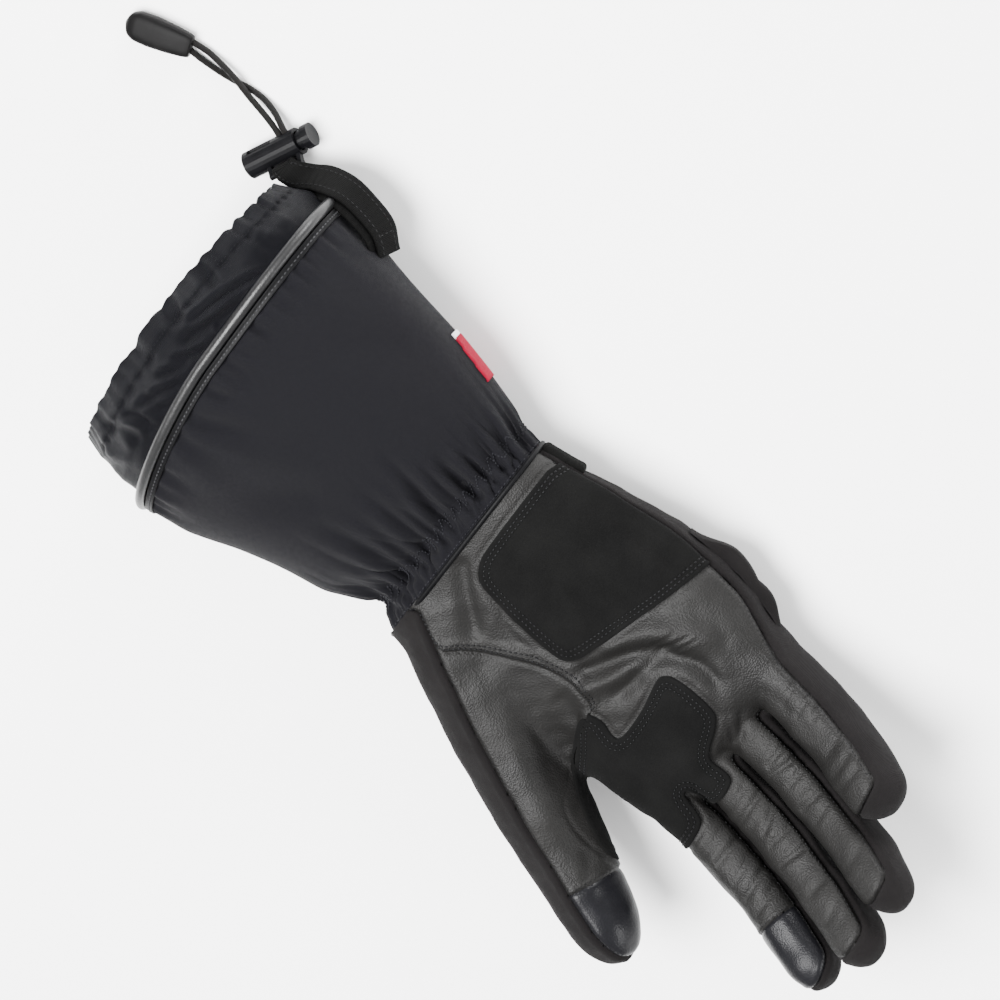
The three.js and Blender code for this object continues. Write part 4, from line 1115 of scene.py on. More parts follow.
def thumb_cap_value(v):
    """Positive on the cap of the thumb."""
    on_thumb = v["thumb"] < v["rest"] + 1
    return np.where(on_thumb, (v["thumb_share"] - THUMB_CAP_FROM) * DIGITS["thumb"]["length"], NOT_THERE)


CAP_VALUES = {"index": index_cap_value, "thumb": thumb_cap_value}
values = skin_values(skin)
for seam_value in (leather_value, thumb_value, index_cap_value, thumb_cap_value):
    skin, skin_tris, _ = cut(skin, skin_tris, seam_value(values))
    values = skin_values(skin)

# Folds of the leather as the camera sees them: points, depth, half width. Negative depth is a ridge.
FOLDS = [
    ([(60, 17), (66, 10), (71, 1), (76, -7), (87, -17)], 2.0, 3.2),
    ([(77, 19), (80, 8), (80.5, -2), (85, -11), (95, -17), (112, -14)], 1.7, 3.0),
    ([(66, 20), (72, 8), (77, -1), (83, -5)], -0.9, 3.0),
    ([(62, 4), (67, -4), (74, -14), (84, -23), (100, -29)], -1.5, 4.0),
    ([(80.5, -9), (84, -17), (87.5, -25)], 0.55, 0.8),
    ([(86, -15), (88, -20), (90, -25)], 0.5, 0.7),
    ([(77, -8), (79.5, -14), (82, -21)], 0.35, 0.7),
    ([(1, 5), (4, 8.6), (12, 16), (19.6, 22.8), (27, 27)], 1.5, 3.4),
    ([(24, 14), (38, 19), (50, 17)], 0.5, 2.4),
    ([(118, -22), (126, -24), (136, -23)], 0.35, 2.0),
    ([(128, -34), (129, -25)], 0.5, 0.9),
    ([(135, -34), (136, -24)], 0.5, 0.8),
    ([(140, -33), (141.5, -27)], 0.55, 0.8),
    ([(153, -31), (154, -18)], 0.35, 1.0),
    ([(160, -29), (161, -14)], 0.5, 1.0),
    ([(166, -26), (166, -13)], 0.45, 0.9),
    ([(139, -14), (139.5, -3)], 0.8, 0.9),
    ([(146, -14), (144, -6), (141, 1)], 1.0, 0.9),
    ([(150, -13), (150, -2)], 0.5, 0.9),
    ([(161, -10), (159, 2)], 0.8, 0.9),
    ([(165, -8), (166, 3)], 0.5, 0.8),
    ([(184, -3), (186, 10)], 0.35, 1.2),
    ([(137, 9), (137.5, 20)], 0.5, 1.0),
    ([(143, 8), (144, 20)], 0.9, 0.9),
    ([(149, 7), (152, 13), (154, 20)], 0.9, 0.9),
    ([(160, 9), (158.5, 16), (158, 22)], 0.7, 0.9),
    ([(169, 11), (167, 18), (165, 25)], 1.0, 0.9),
    ([(181, 15), (181, 25)], 0.6, 1.2),
    ([(190, 20), (192, 30)], 0.4, 1.0),
    ([(140, 24), (141, 38)], 0.5, 1.0),
    ([(147, 25), (147, 37)], 0.8, 0.9),
    ([(154, 26), (156, 39)], 0.5, 0.9),
    ([(161, 27), (163, 41)], 0.8, 0.9),
    ([(168, 29), (170, 43)], 0.6, 0.9),
    ([(118, -13), (123, -8), (126, -1)], 0.7, 1.4),
    ([(119, -6), (123, -2), (129, 1)], 0.5, 0.9),
    ([(60, 24), (70, 27), (80, 40)], 1.2, 4.5),
    ([(104, 62), (112, 70), (112, 75)], 0.4, 2.0),
    ([(30, 24), (43, 33), (72, 53), (98, 69)], -1.4, 7.0),
]


# Grooves beside the seams and edges: depth and half width
SEAM_GROOVE = (1.05, 0.8)
THUMB_GROOVE = (0.8, 0.8)
PATCH_GROOVE = (0.45, 1.0)
CAP_GROOVE = (0.55, 0.6)
STITCH_GROOVE = (0.34, 0.55)


def groove(x, size):
    return size[0] * bell(x, size[1])


def skin_relief(p, v):
    """How far the skin moves out at each point, in millimetres."""
    leather = v["leather"]
    y, x = v["seen_y"], v["seen_x"]
    front = smoothstep(leather, -1, 1)
    out = 0.22 * wave_noise(p, 26, 3) + 0.1 * wave_noise(p, 9, 4)
    out -= groove(leather, SEAM_GROOVE)
    out += 0.3 * bell(np.abs(leather) - 2.6, 1.6)
    for points, depth, width in FOLDS:
        near = np.abs(y - np.mean([q[0] for q in points])) < 60
        d, where = line_distance(y[near], x[near], rounded(points, closed=False))
        finger_share = smoothstep(points[0][0], 114, 128)
        profile = fold_profile(d, width * (1 + 0.4 * finger_share), 0.35, ridge_width=1.1)
        fade = smoothstep(where, 0, 0.18) * (1 - smoothstep(where, 0.82, 1)) if len(points) > 2 else 1
        out[near] -= front[near] * fade * depth * (1 - 0.5 * finger_share) * profile
    thumb = thumb_value(v)
    on_palm = smoothstep(leather, 0, 3) * (1 - smoothstep(y, 74, 80))
    out += on_palm * (0.55 * smoothstep(-thumb, -0.15, 0.25) * (1 - smoothstep(-thumb, 4.2, 6.5)))
    out -= on_palm * groove(thumb - 0.6, THUMB_GROOVE)
    for outline in (HEEL, GRIP):
        out -= front * groove(polygon_distance(y, x, rounded(outline)) - 0.9, PATCH_GROOVE)
    for cap_value in CAP_VALUES.values():
        cap = cap_value(v)
        real = cap > NOT_THERE + 0.5
        out -= real * front * groove(cap, CAP_GROOVE)
        out += real * front * 0.25 * bell(cap + 1.6, 1.0)
    bumps = 0.5 * np.sin(p[:, 1] * 0.16 + 1.0) + 0.6 * np.sin(p[:, 1] * 0.31 + p[:, 0] * 0.05)
    out += (1 - front) * 0.45 * bumps * smoothstep(p[:, 1], 40, 90) * (v["thumb"] > v["rest"])
    return out


relief = skin_relief(skin, values)
shaped = skin + normals_of(skin, skin_tris) * relief[:, None]
shaped[:, 2] = np.maximum(shaped[:, 2], BACK_CLEAR * 0.9)
shaped_normals = normals_of(shaped, skin_tris)

# Stitches: small capsules along lines on a surface. Each ring's place and width are shares
# of half the capsule's length and of its radius.
CAPSULE_RINGS = ((-1.0, 0.0), (-0.8, 0.6), (-0.35, 1.0), (0.35, 1.0), (0.8, 0.6), (1.0, 0.0))


def stitches(name, chains, normal_at, material, pitch=2.1, length=1.5, radius=0.3, lift=0.1):
    """One piece with a capsule at each step along the chains."""
    sides = 6
    rings = [1 + sides * k for k in range(4)]
    capsule = []
    for k in range(sides):
        n = (k + 1) % sides
        capsule.append((0, rings[0] + n, rings[0] + k))
        for lower, upper in zip(rings, rings[1:]):
            capsule.append((lower + k, lower + n, upper + n))
            capsule.append((lower + k, upper + n, upper + k))
        capsule.append((rings[3] + k, rings[3] + n, rings[3] + sides))
    capsule = np.array(capsule)
    verts, tris = [], []
    for chain in chains:
        points = resample(smooth_chain(chain), pitch)
        if len(points) < 3:
            continue
        mids = (points[:-1] + points[1:]) / 2
        ways = points[1:] - points[:-1]
        ways /= np.linalg.norm(ways, axis=1)[:, None]
        for mid, way, up in zip(mids, ways, normal_at(mids)):
            across = np.cross(way, up)
            across /= np.linalg.norm(across)
            up = np.cross(across, way)
            tris.append(capsule + len(verts))
            for t, r in CAPSULE_RINGS:
                centre = mid + way * t * length / 2 + up * (lift - 0.25 * radius * (t * t))
                for a in circle(sides if r else 1):
                    verts.append(centre + (across * math.cos(a) + up * math.sin(a)) * radius * r)
    return finish_piece(make_object(name, np.array(verts), np.concatenate(tris), material), "webbing")


class Nearest:
    """Looks up the normal of the nearest of many points."""

    def __init__(self, points, normals):
        self.tree = KDTree(len(points))
        for i, p in enumerate(points):
            self.tree.insert(p, i)
        self.tree.balance()
        self.normals = normals

    def __call__(self, points):
        return np.array([self.normals[self.tree.find(p)[1]] for p in points])


# Panels of the hand
leather_side = side_of(skin_tris, values["leather"])
thumb_side = side_of(skin_tris, thumb_value(values))
index_cap = side_of(skin_tris, index_cap_value(values))
thumb_cap = side_of(skin_tris, thumb_cap_value(values))
panels = {
    "palm_leather": (
        leather_side & ~thumb_side & ~index_cap, LEATHER, "leather",
        ("palm_panel", "index_front", "middle_front", "ring_front", "little_front"),
    ),
    "thumb_leather": (leather_side & thumb_side & ~thumb_cap, LEATHER, "leather", ("thumb_front",)),
    "index_cap_leather": (
        leather_side & ~thumb_side & index_cap, TOUCH, "touch_leather", ("index_touch_cap",),
    ),
    "thumb_cap_leather": (
        leather_side & thumb_side & thumb_cap, TOUCH, "touch_leather", ("thumb_touch_cap",),
    ),
    "hand_back_cloth": (
        ~leather_side & ~thumb_side, CHARCOAL, "charcoal_softshell",
        ("back_panel", "index_back", "middle_back", "ring_back", "little_back"),
    ),
    "thumb_back_cloth": (~leather_side & thumb_side, CHARCOAL, "charcoal_softshell", ("thumb_back",)),
}
for panel_name, (mask, material, slot_name, nodes) in panels.items():
    panel_verts, panel_tris, _ = part_of(shaped, skin_tris[mask])
    finish_piece(make_object(panel_name, panel_verts, panel_tris, material), slot_name, *nodes)


# Suede patches laid on the leather: how far in from the edge their rows of stitches lie
PATCH_ROWS = (2.1, 3.9)


def patch(name, outline, mask, nodes, thickness=1.1, edge=0.8):
    """A patch with a rounded edge, cut from the skin along an outline that the camera sees."""
    verts, tris, used = part_of(shaped, skin_tris[mask])
    outline = rounded(outline)
    carried = np.concatenate([verts, skin[used], shaped_normals[used]], axis=1)
    for level in (0.0, -edge * 0.35, -edge):
        y, x = seen(carried[:, 3:6])
        value = polygon_distance(y, x, outline) - level
        carried, tris, value = cut(carried, tris, value)
        if level == 0.0:
            carried, tris, _ = part_of(carried, tris[~side_of(tris, value)])
    y, x = seen(carried[:, 3:6])
    inside = -polygon_distance(y, x, outline)
    t = np.clip(inside / edge, 0, 1)
    rise = thickness * np.sqrt(1 - (1 - t) ** 2) - 0.05
    for row in PATCH_ROWS:
        rise -= groove(inside - row, STITCH_GROOVE)
    normal = carried[:, 6:9] / np.linalg.norm(carried[:, 6:9], axis=1)[:, None]
    placed = carried[:, :3] + normal * rise[:, None]
    finish_piece(make_object(name, placed, tris, SUEDE), "suede", *nodes)
    return placed, tris, inside, normal


above = skin[:, 2][skin_tris].mean(axis=1) > BACK_CLEAR + 0.4 * PALM_DEPTH
patches = {
    "heel": patch("heel_suede", HEEL, leather_side & ~thumb_side & above, ("heel_patch",)),
    "grip": patch("grip_suede", GRIP, ~thumb_side & above, ("grip_patch",)),
}
for patch_name, (verts, tris, inside, normal) in patches.items():
    patch_look = Nearest(verts, normal)
    for row, level in enumerate(PATCH_ROWS):
        chains = isolines(verts, tris, inside, level)
        stitches(f"{patch_name}_stitches_{row}", chains, patch_look, THREAD, 1.9, 1.25, 0.38, 0.12)
patch("thumb_gusset", GUSSET, thumb_side & leather_side & ~thumb_cap, (), 0.7, 0.6)
look = Nearest(shaped, shaped_normals)
seam_chains = isolines(shaped, skin_tris[leather_side], values["leather"], 1.3)
stitches("front_seam_stitches", seam_chains, look, THREAD, 2.0, 1.3, 0.2, 0.02)
thumb_line = thumb_value(values)
palm_mask = leather_side & ~thumb_side & (values["seen_y"][skin_tris].max(axis=1) < 76)
for row, level in enumerate((-1.1, -2.7)):
    chains = isolines(shaped, skin_tris[palm_mask], thumb_line, level)
    stitches(f"thumb_seam_stitches_{row}", chains, look, THREAD, 2.0, 1.35, 0.36, 0.12)
for cap_name, cap_value in CAP_VALUES.items():
    chains = isolines(shaped, skin_tris[leather_side], cap_value(values), -1.2)
    chains = [c for c in chains if len(c) > 8]
    stitches(f"{cap_name}_cap_stitches", chains, look, THREAD, 2.0, 1.3, 0.2, 0.02)

# Sleeve, as in the solids
SLEEVE_ROWS = np.array([
    # along, flare, lean, gather, slant
    (0, 0, 0, 0.6, 0), (0.04, -0.05, 0.25, 0.9, 0), (0.09, -0.12, 0.75, 1, 0), (0.16, 0.05, 0.75, 0.85, 0),
    (0.27, 0.3, 0.7, 0.5, 0.05), (0.42, 0.47, 0.9, 0.22, 0.15), (0.62, 0.66, 1, 0.05, 0.4),
    (0.82, 0.9, 1, 0, 0.75), (1, 1, 1, 0, 1),
])
SLEEVE_POWER = 2.4
SLEEVE_AT = np.linspace(-0.02, 1.02, 209)
sleeve_table = [smooth_table(SLEEVE_ROWS[:, 0], SLEEVE_ROWS[:, k], SLEEVE_AT, 0.02) for k in range(1, 5)]


def hem_slant(x):
    share = np.clip((x + 0.1 * HEM_WIDTH) / (0.56 * HEM_WIDTH), 0, 1)
    return HEM_SLANT * share**1.6


def sleeve_row(along):
    """The sleeve's section: middle, its height, half width, half depth, gather and slant."""
    flare, lean, gather, slant = (np.interp(along, SLEEVE_AT, column) for column in sleeve_table)
    half = (WRIST_WIDTH + (HEM_WIDTH - WRIST_WIDTH) * flare) / 2
    deep = (WRIST_DEPTH + (HEM_DEPTH - WRIST_DEPTH) * flare) / 2
    z = WRIST_HEIGHT + (HEM_HEIGHT - WRIST_HEIGHT) * flare
    return lean * HEM_SHIFT, z, half, deep, gather, slant


SEGMENTS = 360


# Folds round the sleeve, strength, wander, phase
GATHERS = ((19, 0.75, 1.1, 0.3), (31, 0.6, 1.6, 2.1), (47, 0.45, 2.2, 4.0))
GATHER_HEIGHT = 3.0
# The wrist elastic: its distance from the wrist seam, and the half widths of its band and stitches
ELASTIC_AT = 10
ELASTIC_BAND = 3.4
ELASTIC_STITCHES = 3.0
WRIST_STITCHES_AT = 1.6


def gather_folds(angle, y, amount):
    """Folds that the wrist elastic draws up, running along the sleeve: round ridges, sharp valleys."""
    total = np.zeros_like(angle)
    for folds, strength, wander, phase in GATHERS:
        drift = wander * np.sin(3 * angle + phase) + 0.5 * np.sin(5 * angle + 2 * phase)
        drift = drift + 0.012 * y * np.sin(2 * angle + phase)
        wave = np.sqrt(np.abs(np.sin((folds * angle + drift) / 2))) - 0.75
        fade = np.exp(-np.clip(-y - 12, 0, None) / (24 * 19 / folds))
        total += strength * fade * wave
    return total * amount


def around_sleeve():
    """Angles of even steps round the sleeve, and how far round each lies on the hem."""
    angle, around = even_angles(SEGMENTS, HEM_WIDTH / 2, HEM_DEPTH / 2, SLEEVE_POWER)
    return angle, np.arange(SEGMENTS) / SEGMENTS * around


def sleeve_surface(rows, grow):
    angle, around = around_sleeve()
    points = np.zeros((rows, SEGMENTS, 3))
    uv = np.zeros((rows, SEGMENTS, 2))
    for i, share in enumerate(np.linspace(0, 1, rows)):
        y = -0.1 - share * (GAUNTLET_LENGTH - 0.3)
        xc, zc, half, deep, gather, slant = sleeve_row(share)
        band = bell(y + ELASTIC_AT, ELASTIC_BAND)
        fold = gather_folds(angle, np.full(SEGMENTS, y), GATHER_HEIGHT * min(gather * 1.1, 1))
        fold = fold * (1 - 0.25 * band) - 0.7 * band
        hem = 0.5 * np.cos(47 * angle + 2 * np.sin(3 * angle)) * math.exp(-((y + 108) ** 2) / 60)
        hem += 0.45 * np.cos(23 * angle + 1.5 * np.sin(4 * angle) + 1) * math.exp(-((y + 104) ** 2) / 160)
        broad = 0.5 * np.sin(2 * angle + y * 0.05) + 0.4 * np.sin(5 * angle - y * 0.08)
        broad *= smoothstep(-y, 25, 60) * (1 - smoothstep(-y, 95, 111))
        extra = grow + fold + hem + broad
        u, v = rounded_point(angle, half + extra, deep + extra, SLEEVE_POWER)
        points[i, :, 0] = xc + u
        points[i, :, 1] = y + slant * hem_slant(xc + u)
        points[i, :, 2] = np.maximum(eased_floor(zc + v, -grow, 1.2), 0.02 - grow)
        uv[i, :, 0] = around
        uv[i, :, 1] = y
    return points, uv


# Gathers and folds that the camera sees: points, depth, half width
SLEEVE_FOLDS = [
    ([(-2, -41), (-7, -41), (-14, -44), (-26, -50)], 1.8, 1.8),
    ([(-3, -35), (-12, -36), (-24, -41)], 1.6, 1.4),
    ([(-3, -29), (-12, -29), (-30, -33)], 1.8, 1.5),
    ([(-3, -24), (-12, -23), (-28, -26)], 1.4, 1.3),
    ([(-3, -16), (-14, -15), (-34, -18)], 1.8, 1.6),
    ([(-3, -10), (-14, -9), (-40, -11)], 1.5, 1.5),
    ([(-3, 0), (-14, -1), (-30, -4), (-52, -6)], 2.0, 1.8),
    ([(-3, 5), (-14, 5.5), (-36, 6)], 1.4, 1.3),
    ([(-3, 11), (-14, 10), (-30, 10), (-48, 11)], 2.0, 1.7),
    ([(-3, 17), (-12, 18), (-30, 20)], 1.4, 1.3),
    ([(-3, 24), (-14, 24), (-30, 26), (-54, 31)], 2.0, 1.9),
    ([(-3, 30), (-12, 31), (-26, 37)], 1.5, 1.4),
    ([(-4, 37), (-14, 36), (-32, 43)], 1.6, 1.5),
    ([(-60, -44), (-78, -30), (-96, -20)], 0.8, 5.0),
    ([(-50, 20), (-70, 34), (-92, 44)], 0.8, 5.0),
    ([(-110, 30), (-102, 26), (-90, 20), (-78, 16)], 1.3, 2.6),
    ([(-108, 42), (-100, 42), (-88, 36)], -1.0, 3.0),
    ([(-111, 16), (-103, 14), (-97, 10)], 1.0, 1.5),
    ([(-112, 8), (-104, 7), (-99, 4)], 0.8, 1.3),
    ([(-113, -2), (-104, -4), (-98, -7)], 0.8, 1.3),
    ([(-113, -13), (-105, -15), (-100, -17)], 0.7, 1.3),
    ([(-113, -24), (-105, -26), (-98, -27)], 0.9, 1.6),
    ([(-113, -40), (-104, -41), (-95, -40)], 0.8, 1.8),
]


def fold_relief(y, x, folds):
    """How far folds press a surface in, at points given as the camera sees them."""
    total = np.zeros(y.shape)
    for points, depth, width in folds:
        line = rounded(points, closed=False)
        near = (y > line[:, 0].min() - 12) & (y < line[:, 0].max() + 12)
        near &= (x > line[:, 1].min() - 12) & (x < line[:, 1].max() + 12)
        d, where = line_distance(y[near], x[near], line)
        fade = smoothstep(where, 0, 0.12) * (1 - smoothstep(where, 0.35, 1))
        total[near] += fade * depth * fold_profile(d, width * (1 + 0.35 * where), 0.5)
    return total


def walled_piece(name, outer, inner, uv, material, slot_name, node):
    """A piece with an outer and an inner side, both rims closed."""
    verts = np.concatenate([outer.reshape(-1, 3), inner.reshape(-1, 3)])
    faces = walled(*outer.shape[:2])
    obj = make_object(name, verts, faces, material, uv=np.tile(uv.reshape(-1, 2), (2, 1)))
    return finish_piece(obj, slot_name, node)


def closed_line(line):
    return np.concatenate([line, line[:1]])


SLEEVE_GRID = 136
outer, sleeve_uv = sleeve_surface(SLEEVE_GRID, 0)
inner, _ = sleeve_surface(SLEEVE_GRID, -GAUNTLET_WALL)
sleeve_y, sleeve_x = seen(outer)
upper = smoothstep(outer[..., 2], WRIST_HEIGHT - 2, WRIST_HEIGHT + 10)
pressed = (upper * fold_relief(sleeve_y, sleeve_x, SLEEVE_FOLDS))[..., None] * grid_normals(outer)
outer = outer - pressed
inner = inner - pressed
walled_piece("sleeve", outer, inner, sleeve_uv, SOFTSHELL, "softshell", "gauntlet")
outer_normals = grid_normals(outer)
sleeve_look = Nearest(outer.reshape(-1, 3)[::2], outer_normals.reshape(-1, 3)[::2])


def sleeve_line(y_of, count):
    """A closed line round the sleeve, at a distance from the wrist that y_of gives."""
    column = np.linspace(0, SEGMENTS, count, endpoint=False)
    y = np.array([y_of(k / count) for k in range(count)])
    return closed_line(row_point(outer, y / GAUNTLET_LENGTH * (SLEEVE_GRID - 1), column))


def zigzag(k, folds=60):
    t = (k * folds) % 1
    return ELASTIC_AT + ELASTIC_STITCHES * (4 * abs(t - 0.5) - 1)


def wrist_row(k):
    return WRIST_STITCHES_AT


stitches("elastic_stitches", [sleeve_line(zigzag, 2400)], sleeve_look, PALE_THREAD, 1.3, 1.0, 0.3, 0.12)
stitches("wrist_stitches", [sleeve_line(wrist_row, 800)], sleeve_look, PALE_THREAD, 1.9, 1.3, 0.3, 0.12)

# A thin roll along the join of hand and sleeve
WRIST_ROLL = 1.05
LOOP_POINTS = 360


def wrist_loop(grow, y):
    xc, a, zc, b = hand_row(y)
    angle, _ = even_angles(LOOP_POINTS, a, b, HAND_POWER)
    u, v = rounded_point(angle, a + grow, b + grow, HAND_POWER)
    return np.stack([xc + u, np.full(len(u), y), np.maximum(zc + v, BACK_CLEAR - grow)], axis=1)


# Skirt: wrinkled nylon with a stitched channel and a scalloped mouth
SKIRT_ROWS = np.array([
    # past the hem, draw, scallop, rest
    (-0.18, -0.5, 0, 0.5), (0, 0, 0, 1), (0.25, 0.4, 0.05, 1), (0.5, 1.2, 0.2, 0.8), (0.75, 2.6, 0.5, 0.5),
    (1, 5, 1, 0.2),
])
SKIRT_START = -0.16
SKIRT_END_CURVE = 6.0
SKIRT_FOLDS = [
    ([(-118, -33), (-123, -27), (-128, -12), (-131, 2)], 1.9, 1.4),
    ([(-119, -18), (-125, -2), (-129, 10)], 1.4, 2.0),
    ([(-118, 0), (-122, 9), (-128, 16)], 1.3, 1.5),
    ([(-121, 10), (-125, 20), (-129, 24)], 1.0, 1.6),
    ([(-118, 18), (-123, 26), (-127, 38)], 1.0, 1.6),
    ([(-117, 40), (-122, 38), (-130, 42)], 0.9, 1.5),
    ([(-120, -44), (-126, -40), (-131, -42)], 0.5, 2.0),
    ([(-142, -20), (-134, -17)], 0.9, 2.2),
    ([(-143, -3), (-136, 1)], 0.9, 2.2),
    ([(-117, -10), (-121, -6)], 0.7, 1.2),
    ([(-116, 30), (-122, 33), (-130, 31)], 0.6, 2.0),
    ([(-116, 47), (-124, 46), (-134, 50)], 0.9, 2.0),
    ([(-121, -50), (-128, -48), (-138, -50)], 0.4, 2.5),
    ([(-112, 55), (-120, 54), (-128, 58)], -0.8, 2.5),
]
hem_x, hem_z, hem_half, hem_deep, _, _ = sleeve_row(1.0)


def skirt_surface(rows, grow):
    angle, around = around_sleeve()
    points = np.zeros((rows, SEGMENTS, 3))
    uv = np.zeros((rows, SEGMENTS, 2))
    uneven = 0.75 + 0.3 * np.sin(5 * angle + 0.7) + 0.2 * np.sin(8 * angle + 2.1)
    wander = 1.3 * np.sin(3 * angle) + 0.6 * np.sin(7 * angle)
    ripple = uneven * (1.5 * np.abs(np.sin(14 * angle + wander)) - 0.95)
    fine = np.cos(53 * angle + 2.1 * np.sin(4 * angle))
    for i, past in enumerate(np.linspace(SKIRT_START, 1, rows)):
        draw, scallop, rest = (np.interp(past, SKIRT_ROWS[:, 0], SKIRT_ROWS[:, k]) for k in (1, 2, 3))
        inside = -GAUNTLET_WALL - 0.3 - (abs(past) * 3.2 if past < 0 else draw)
        puff = 1.5 * bell(past - 0.45, 0.3) * (past > 0)
        waves = 0.45 * np.sin(9 * angle + 6 * past) + 0.4 * np.sin(15 * angle - 4 * past + 1)
        wrinkle = scallop * (0.5 * ripple + 0.12 * fine) + waves * smoothstep(past, 0, 0.3)
        wrinkle += bell(past - 0.72, 0.05) * (0.25 * fine - 0.5)
        extra = inside + grow + puff + wrinkle
        u, v = rounded_point(angle, hem_half + extra, hem_deep + extra, SLEEVE_POWER)
        x = hem_x + u
        end = max(past, 0)
        y = -GAUNTLET_LENGTH - past * SKIRT_LENGTH
        shift = (1 - end) * hem_slant(x) + end * SKIRT_END_CURVE * (u / hem_half) ** 2
        floor = rest * PIPING_WIDTH * 0.95 + 0.3 - grow if past > -0.05 else 2.6 - grow
        points[i, :, 0] = x
        points[i, :, 1] = y + shift - scallop * (0.9 * ripple + 0.2 * fine)
        points[i, :, 2] = eased_floor(hem_z + v, floor, 1.5)
        uv[i, :, 0] = around
        uv[i, :, 1] = y
    return points, uv


SKIRT_GRID = 90
skirt_outer, skirt_uv = skirt_surface(SKIRT_GRID, 0)
skirt_inner, _ = skirt_surface(SKIRT_GRID, -SKIRT_WALL)
skirt_normals = grid_normals(skirt_outer)
skirt_y, skirt_x = seen(skirt_outer)
pressed = np.zeros(skirt_y.shape)
for points, depth, width in SKIRT_FOLDS:
    d, where = line_distance(skirt_y, skirt_x, rounded(points, closed=False))
    fade = smoothstep(where, 0, 0.2) * (1 - smoothstep(where, 0.8, 1)) if len(points) > 2 else 1
    pressed += fade * depth * fold_profile(d, width, 0.6, 1.9)
pressed *= smoothstep(skirt_outer[..., 2], 34, 44)
pressed *= smoothstep(-skirt_outer[..., 1], GAUNTLET_LENGTH + 2, GAUNTLET_LENGTH + 6)
pressed = pressed[..., None] * skirt_normals
skirt_outer = skirt_outer - pressed
skirt_inner = skirt_inner - pressed
walled_piece("skirt", skirt_outer, skirt_inner, skirt_uv, NYLON, "nylon", "hem_skirt")
skirt_look = Nearest(skirt_outer.reshape(-1, 3)[::2], skirt_normals.reshape(-1, 3)[::2])
CHANNEL_POINTS = 900
for row, past in enumerate((0.70, 0.755)):
    at = (past - SKIRT_START) / (1 - SKIRT_START) * (SKIRT_GRID - 1)
    column = np.linspace(0, SEGMENTS, CHANNEL_POINTS, endpoint=False)
    line = closed_line(row_point(skirt_outer, np.full(CHANNEL_POINTS, at), column))
    stitches(f"channel_stitches_{row}", [line], skirt_look, THREAD, 1.9, 1.2, 0.16, 0.05)


# Piping with its stitched flange


def hem_loop(grow, y_shift, lowest):
    angle, _ = even_angles(LOOP_POINTS, HEM_WIDTH / 2, HEM_DEPTH / 2, SLEEVE_POWER)
    u, v = rounded_point(angle, hem_half + grow, hem_deep + grow, SLEEVE_POWER)
    x, z = hem_x + u, np.maximum(hem_z + v, lowest)
    return np.stack([x, -GAUNTLET_LENGTH + y_shift + hem_slant(x), z], axis=1)


def swept_ring(name, sections, material, nodes=()):
    """A closed ring through loops that lie round its section."""
    rings = np.array([*sections, sections[0]])
    rows, columns = len(sections), rings.shape[1]
    faces = grid_faces(rows + 1, columns) % (rows * columns)
    verts = rings[:-1].reshape(-1, 3)
    if looks_back(verts, faces, verts - np.roll(verts, columns // 2 + columns * (rows // 2), axis=0)):
        faces = faces[:, ::-1]
    return finish_piece(make_object(name, verts, faces, material), "piping_leather", *nodes)


roll_sections = [wrist_loop(0.45 + WRIST_ROLL * math.cos(a), WRIST_ROLL * math.sin(a)) for a in circle(10)]
swept_ring("wrist_roll", roll_sections, FLANGE)
piping_radius = PIPING_WIDTH / 2
piping_sections = []
for a in circle(14):
    out, along = piping_radius * math.cos(a), piping_radius * math.sin(a)
    piping_sections.append(hem_loop(out + 0.15, -piping_radius - 0.35 + along, piping_radius - out))
swept_ring("piping", piping_sections, PIPING, ("hem_piping",))
# The flange's section: out from the sleeve, and along it from the hem
FLANGE_SECTION = (
    (0.05, 0.2), (0.4, -0.1), (0.85, 0.05), (0.9, 0.5), (0.55, 1.1), (0.6, 1.8), (0.75, 2.5), (0.7, 3.0),
    (0.2, 3.2),
)
FLANGE_LOWEST = 0.1
swept_ring("piping_flange", [hem_loop(out, y, FLANGE_LOWEST) for out, y in FLANGE_SECTION], FLANGE)
flange_line = closed_line(hem_loop(0.72, 1.7, 0.3))
stitches("flange_stitches", [flange_line], sleeve_look, GREY_THREAD, 1.9, 1.25, 0.26, 0.05)


# Wrist strap, knuckle pad and label: offset layers over the hand and sleeve
LAYER_START = 0.25
LAYER_ANGLES = np.radians(np.linspace(168, 330, 900))


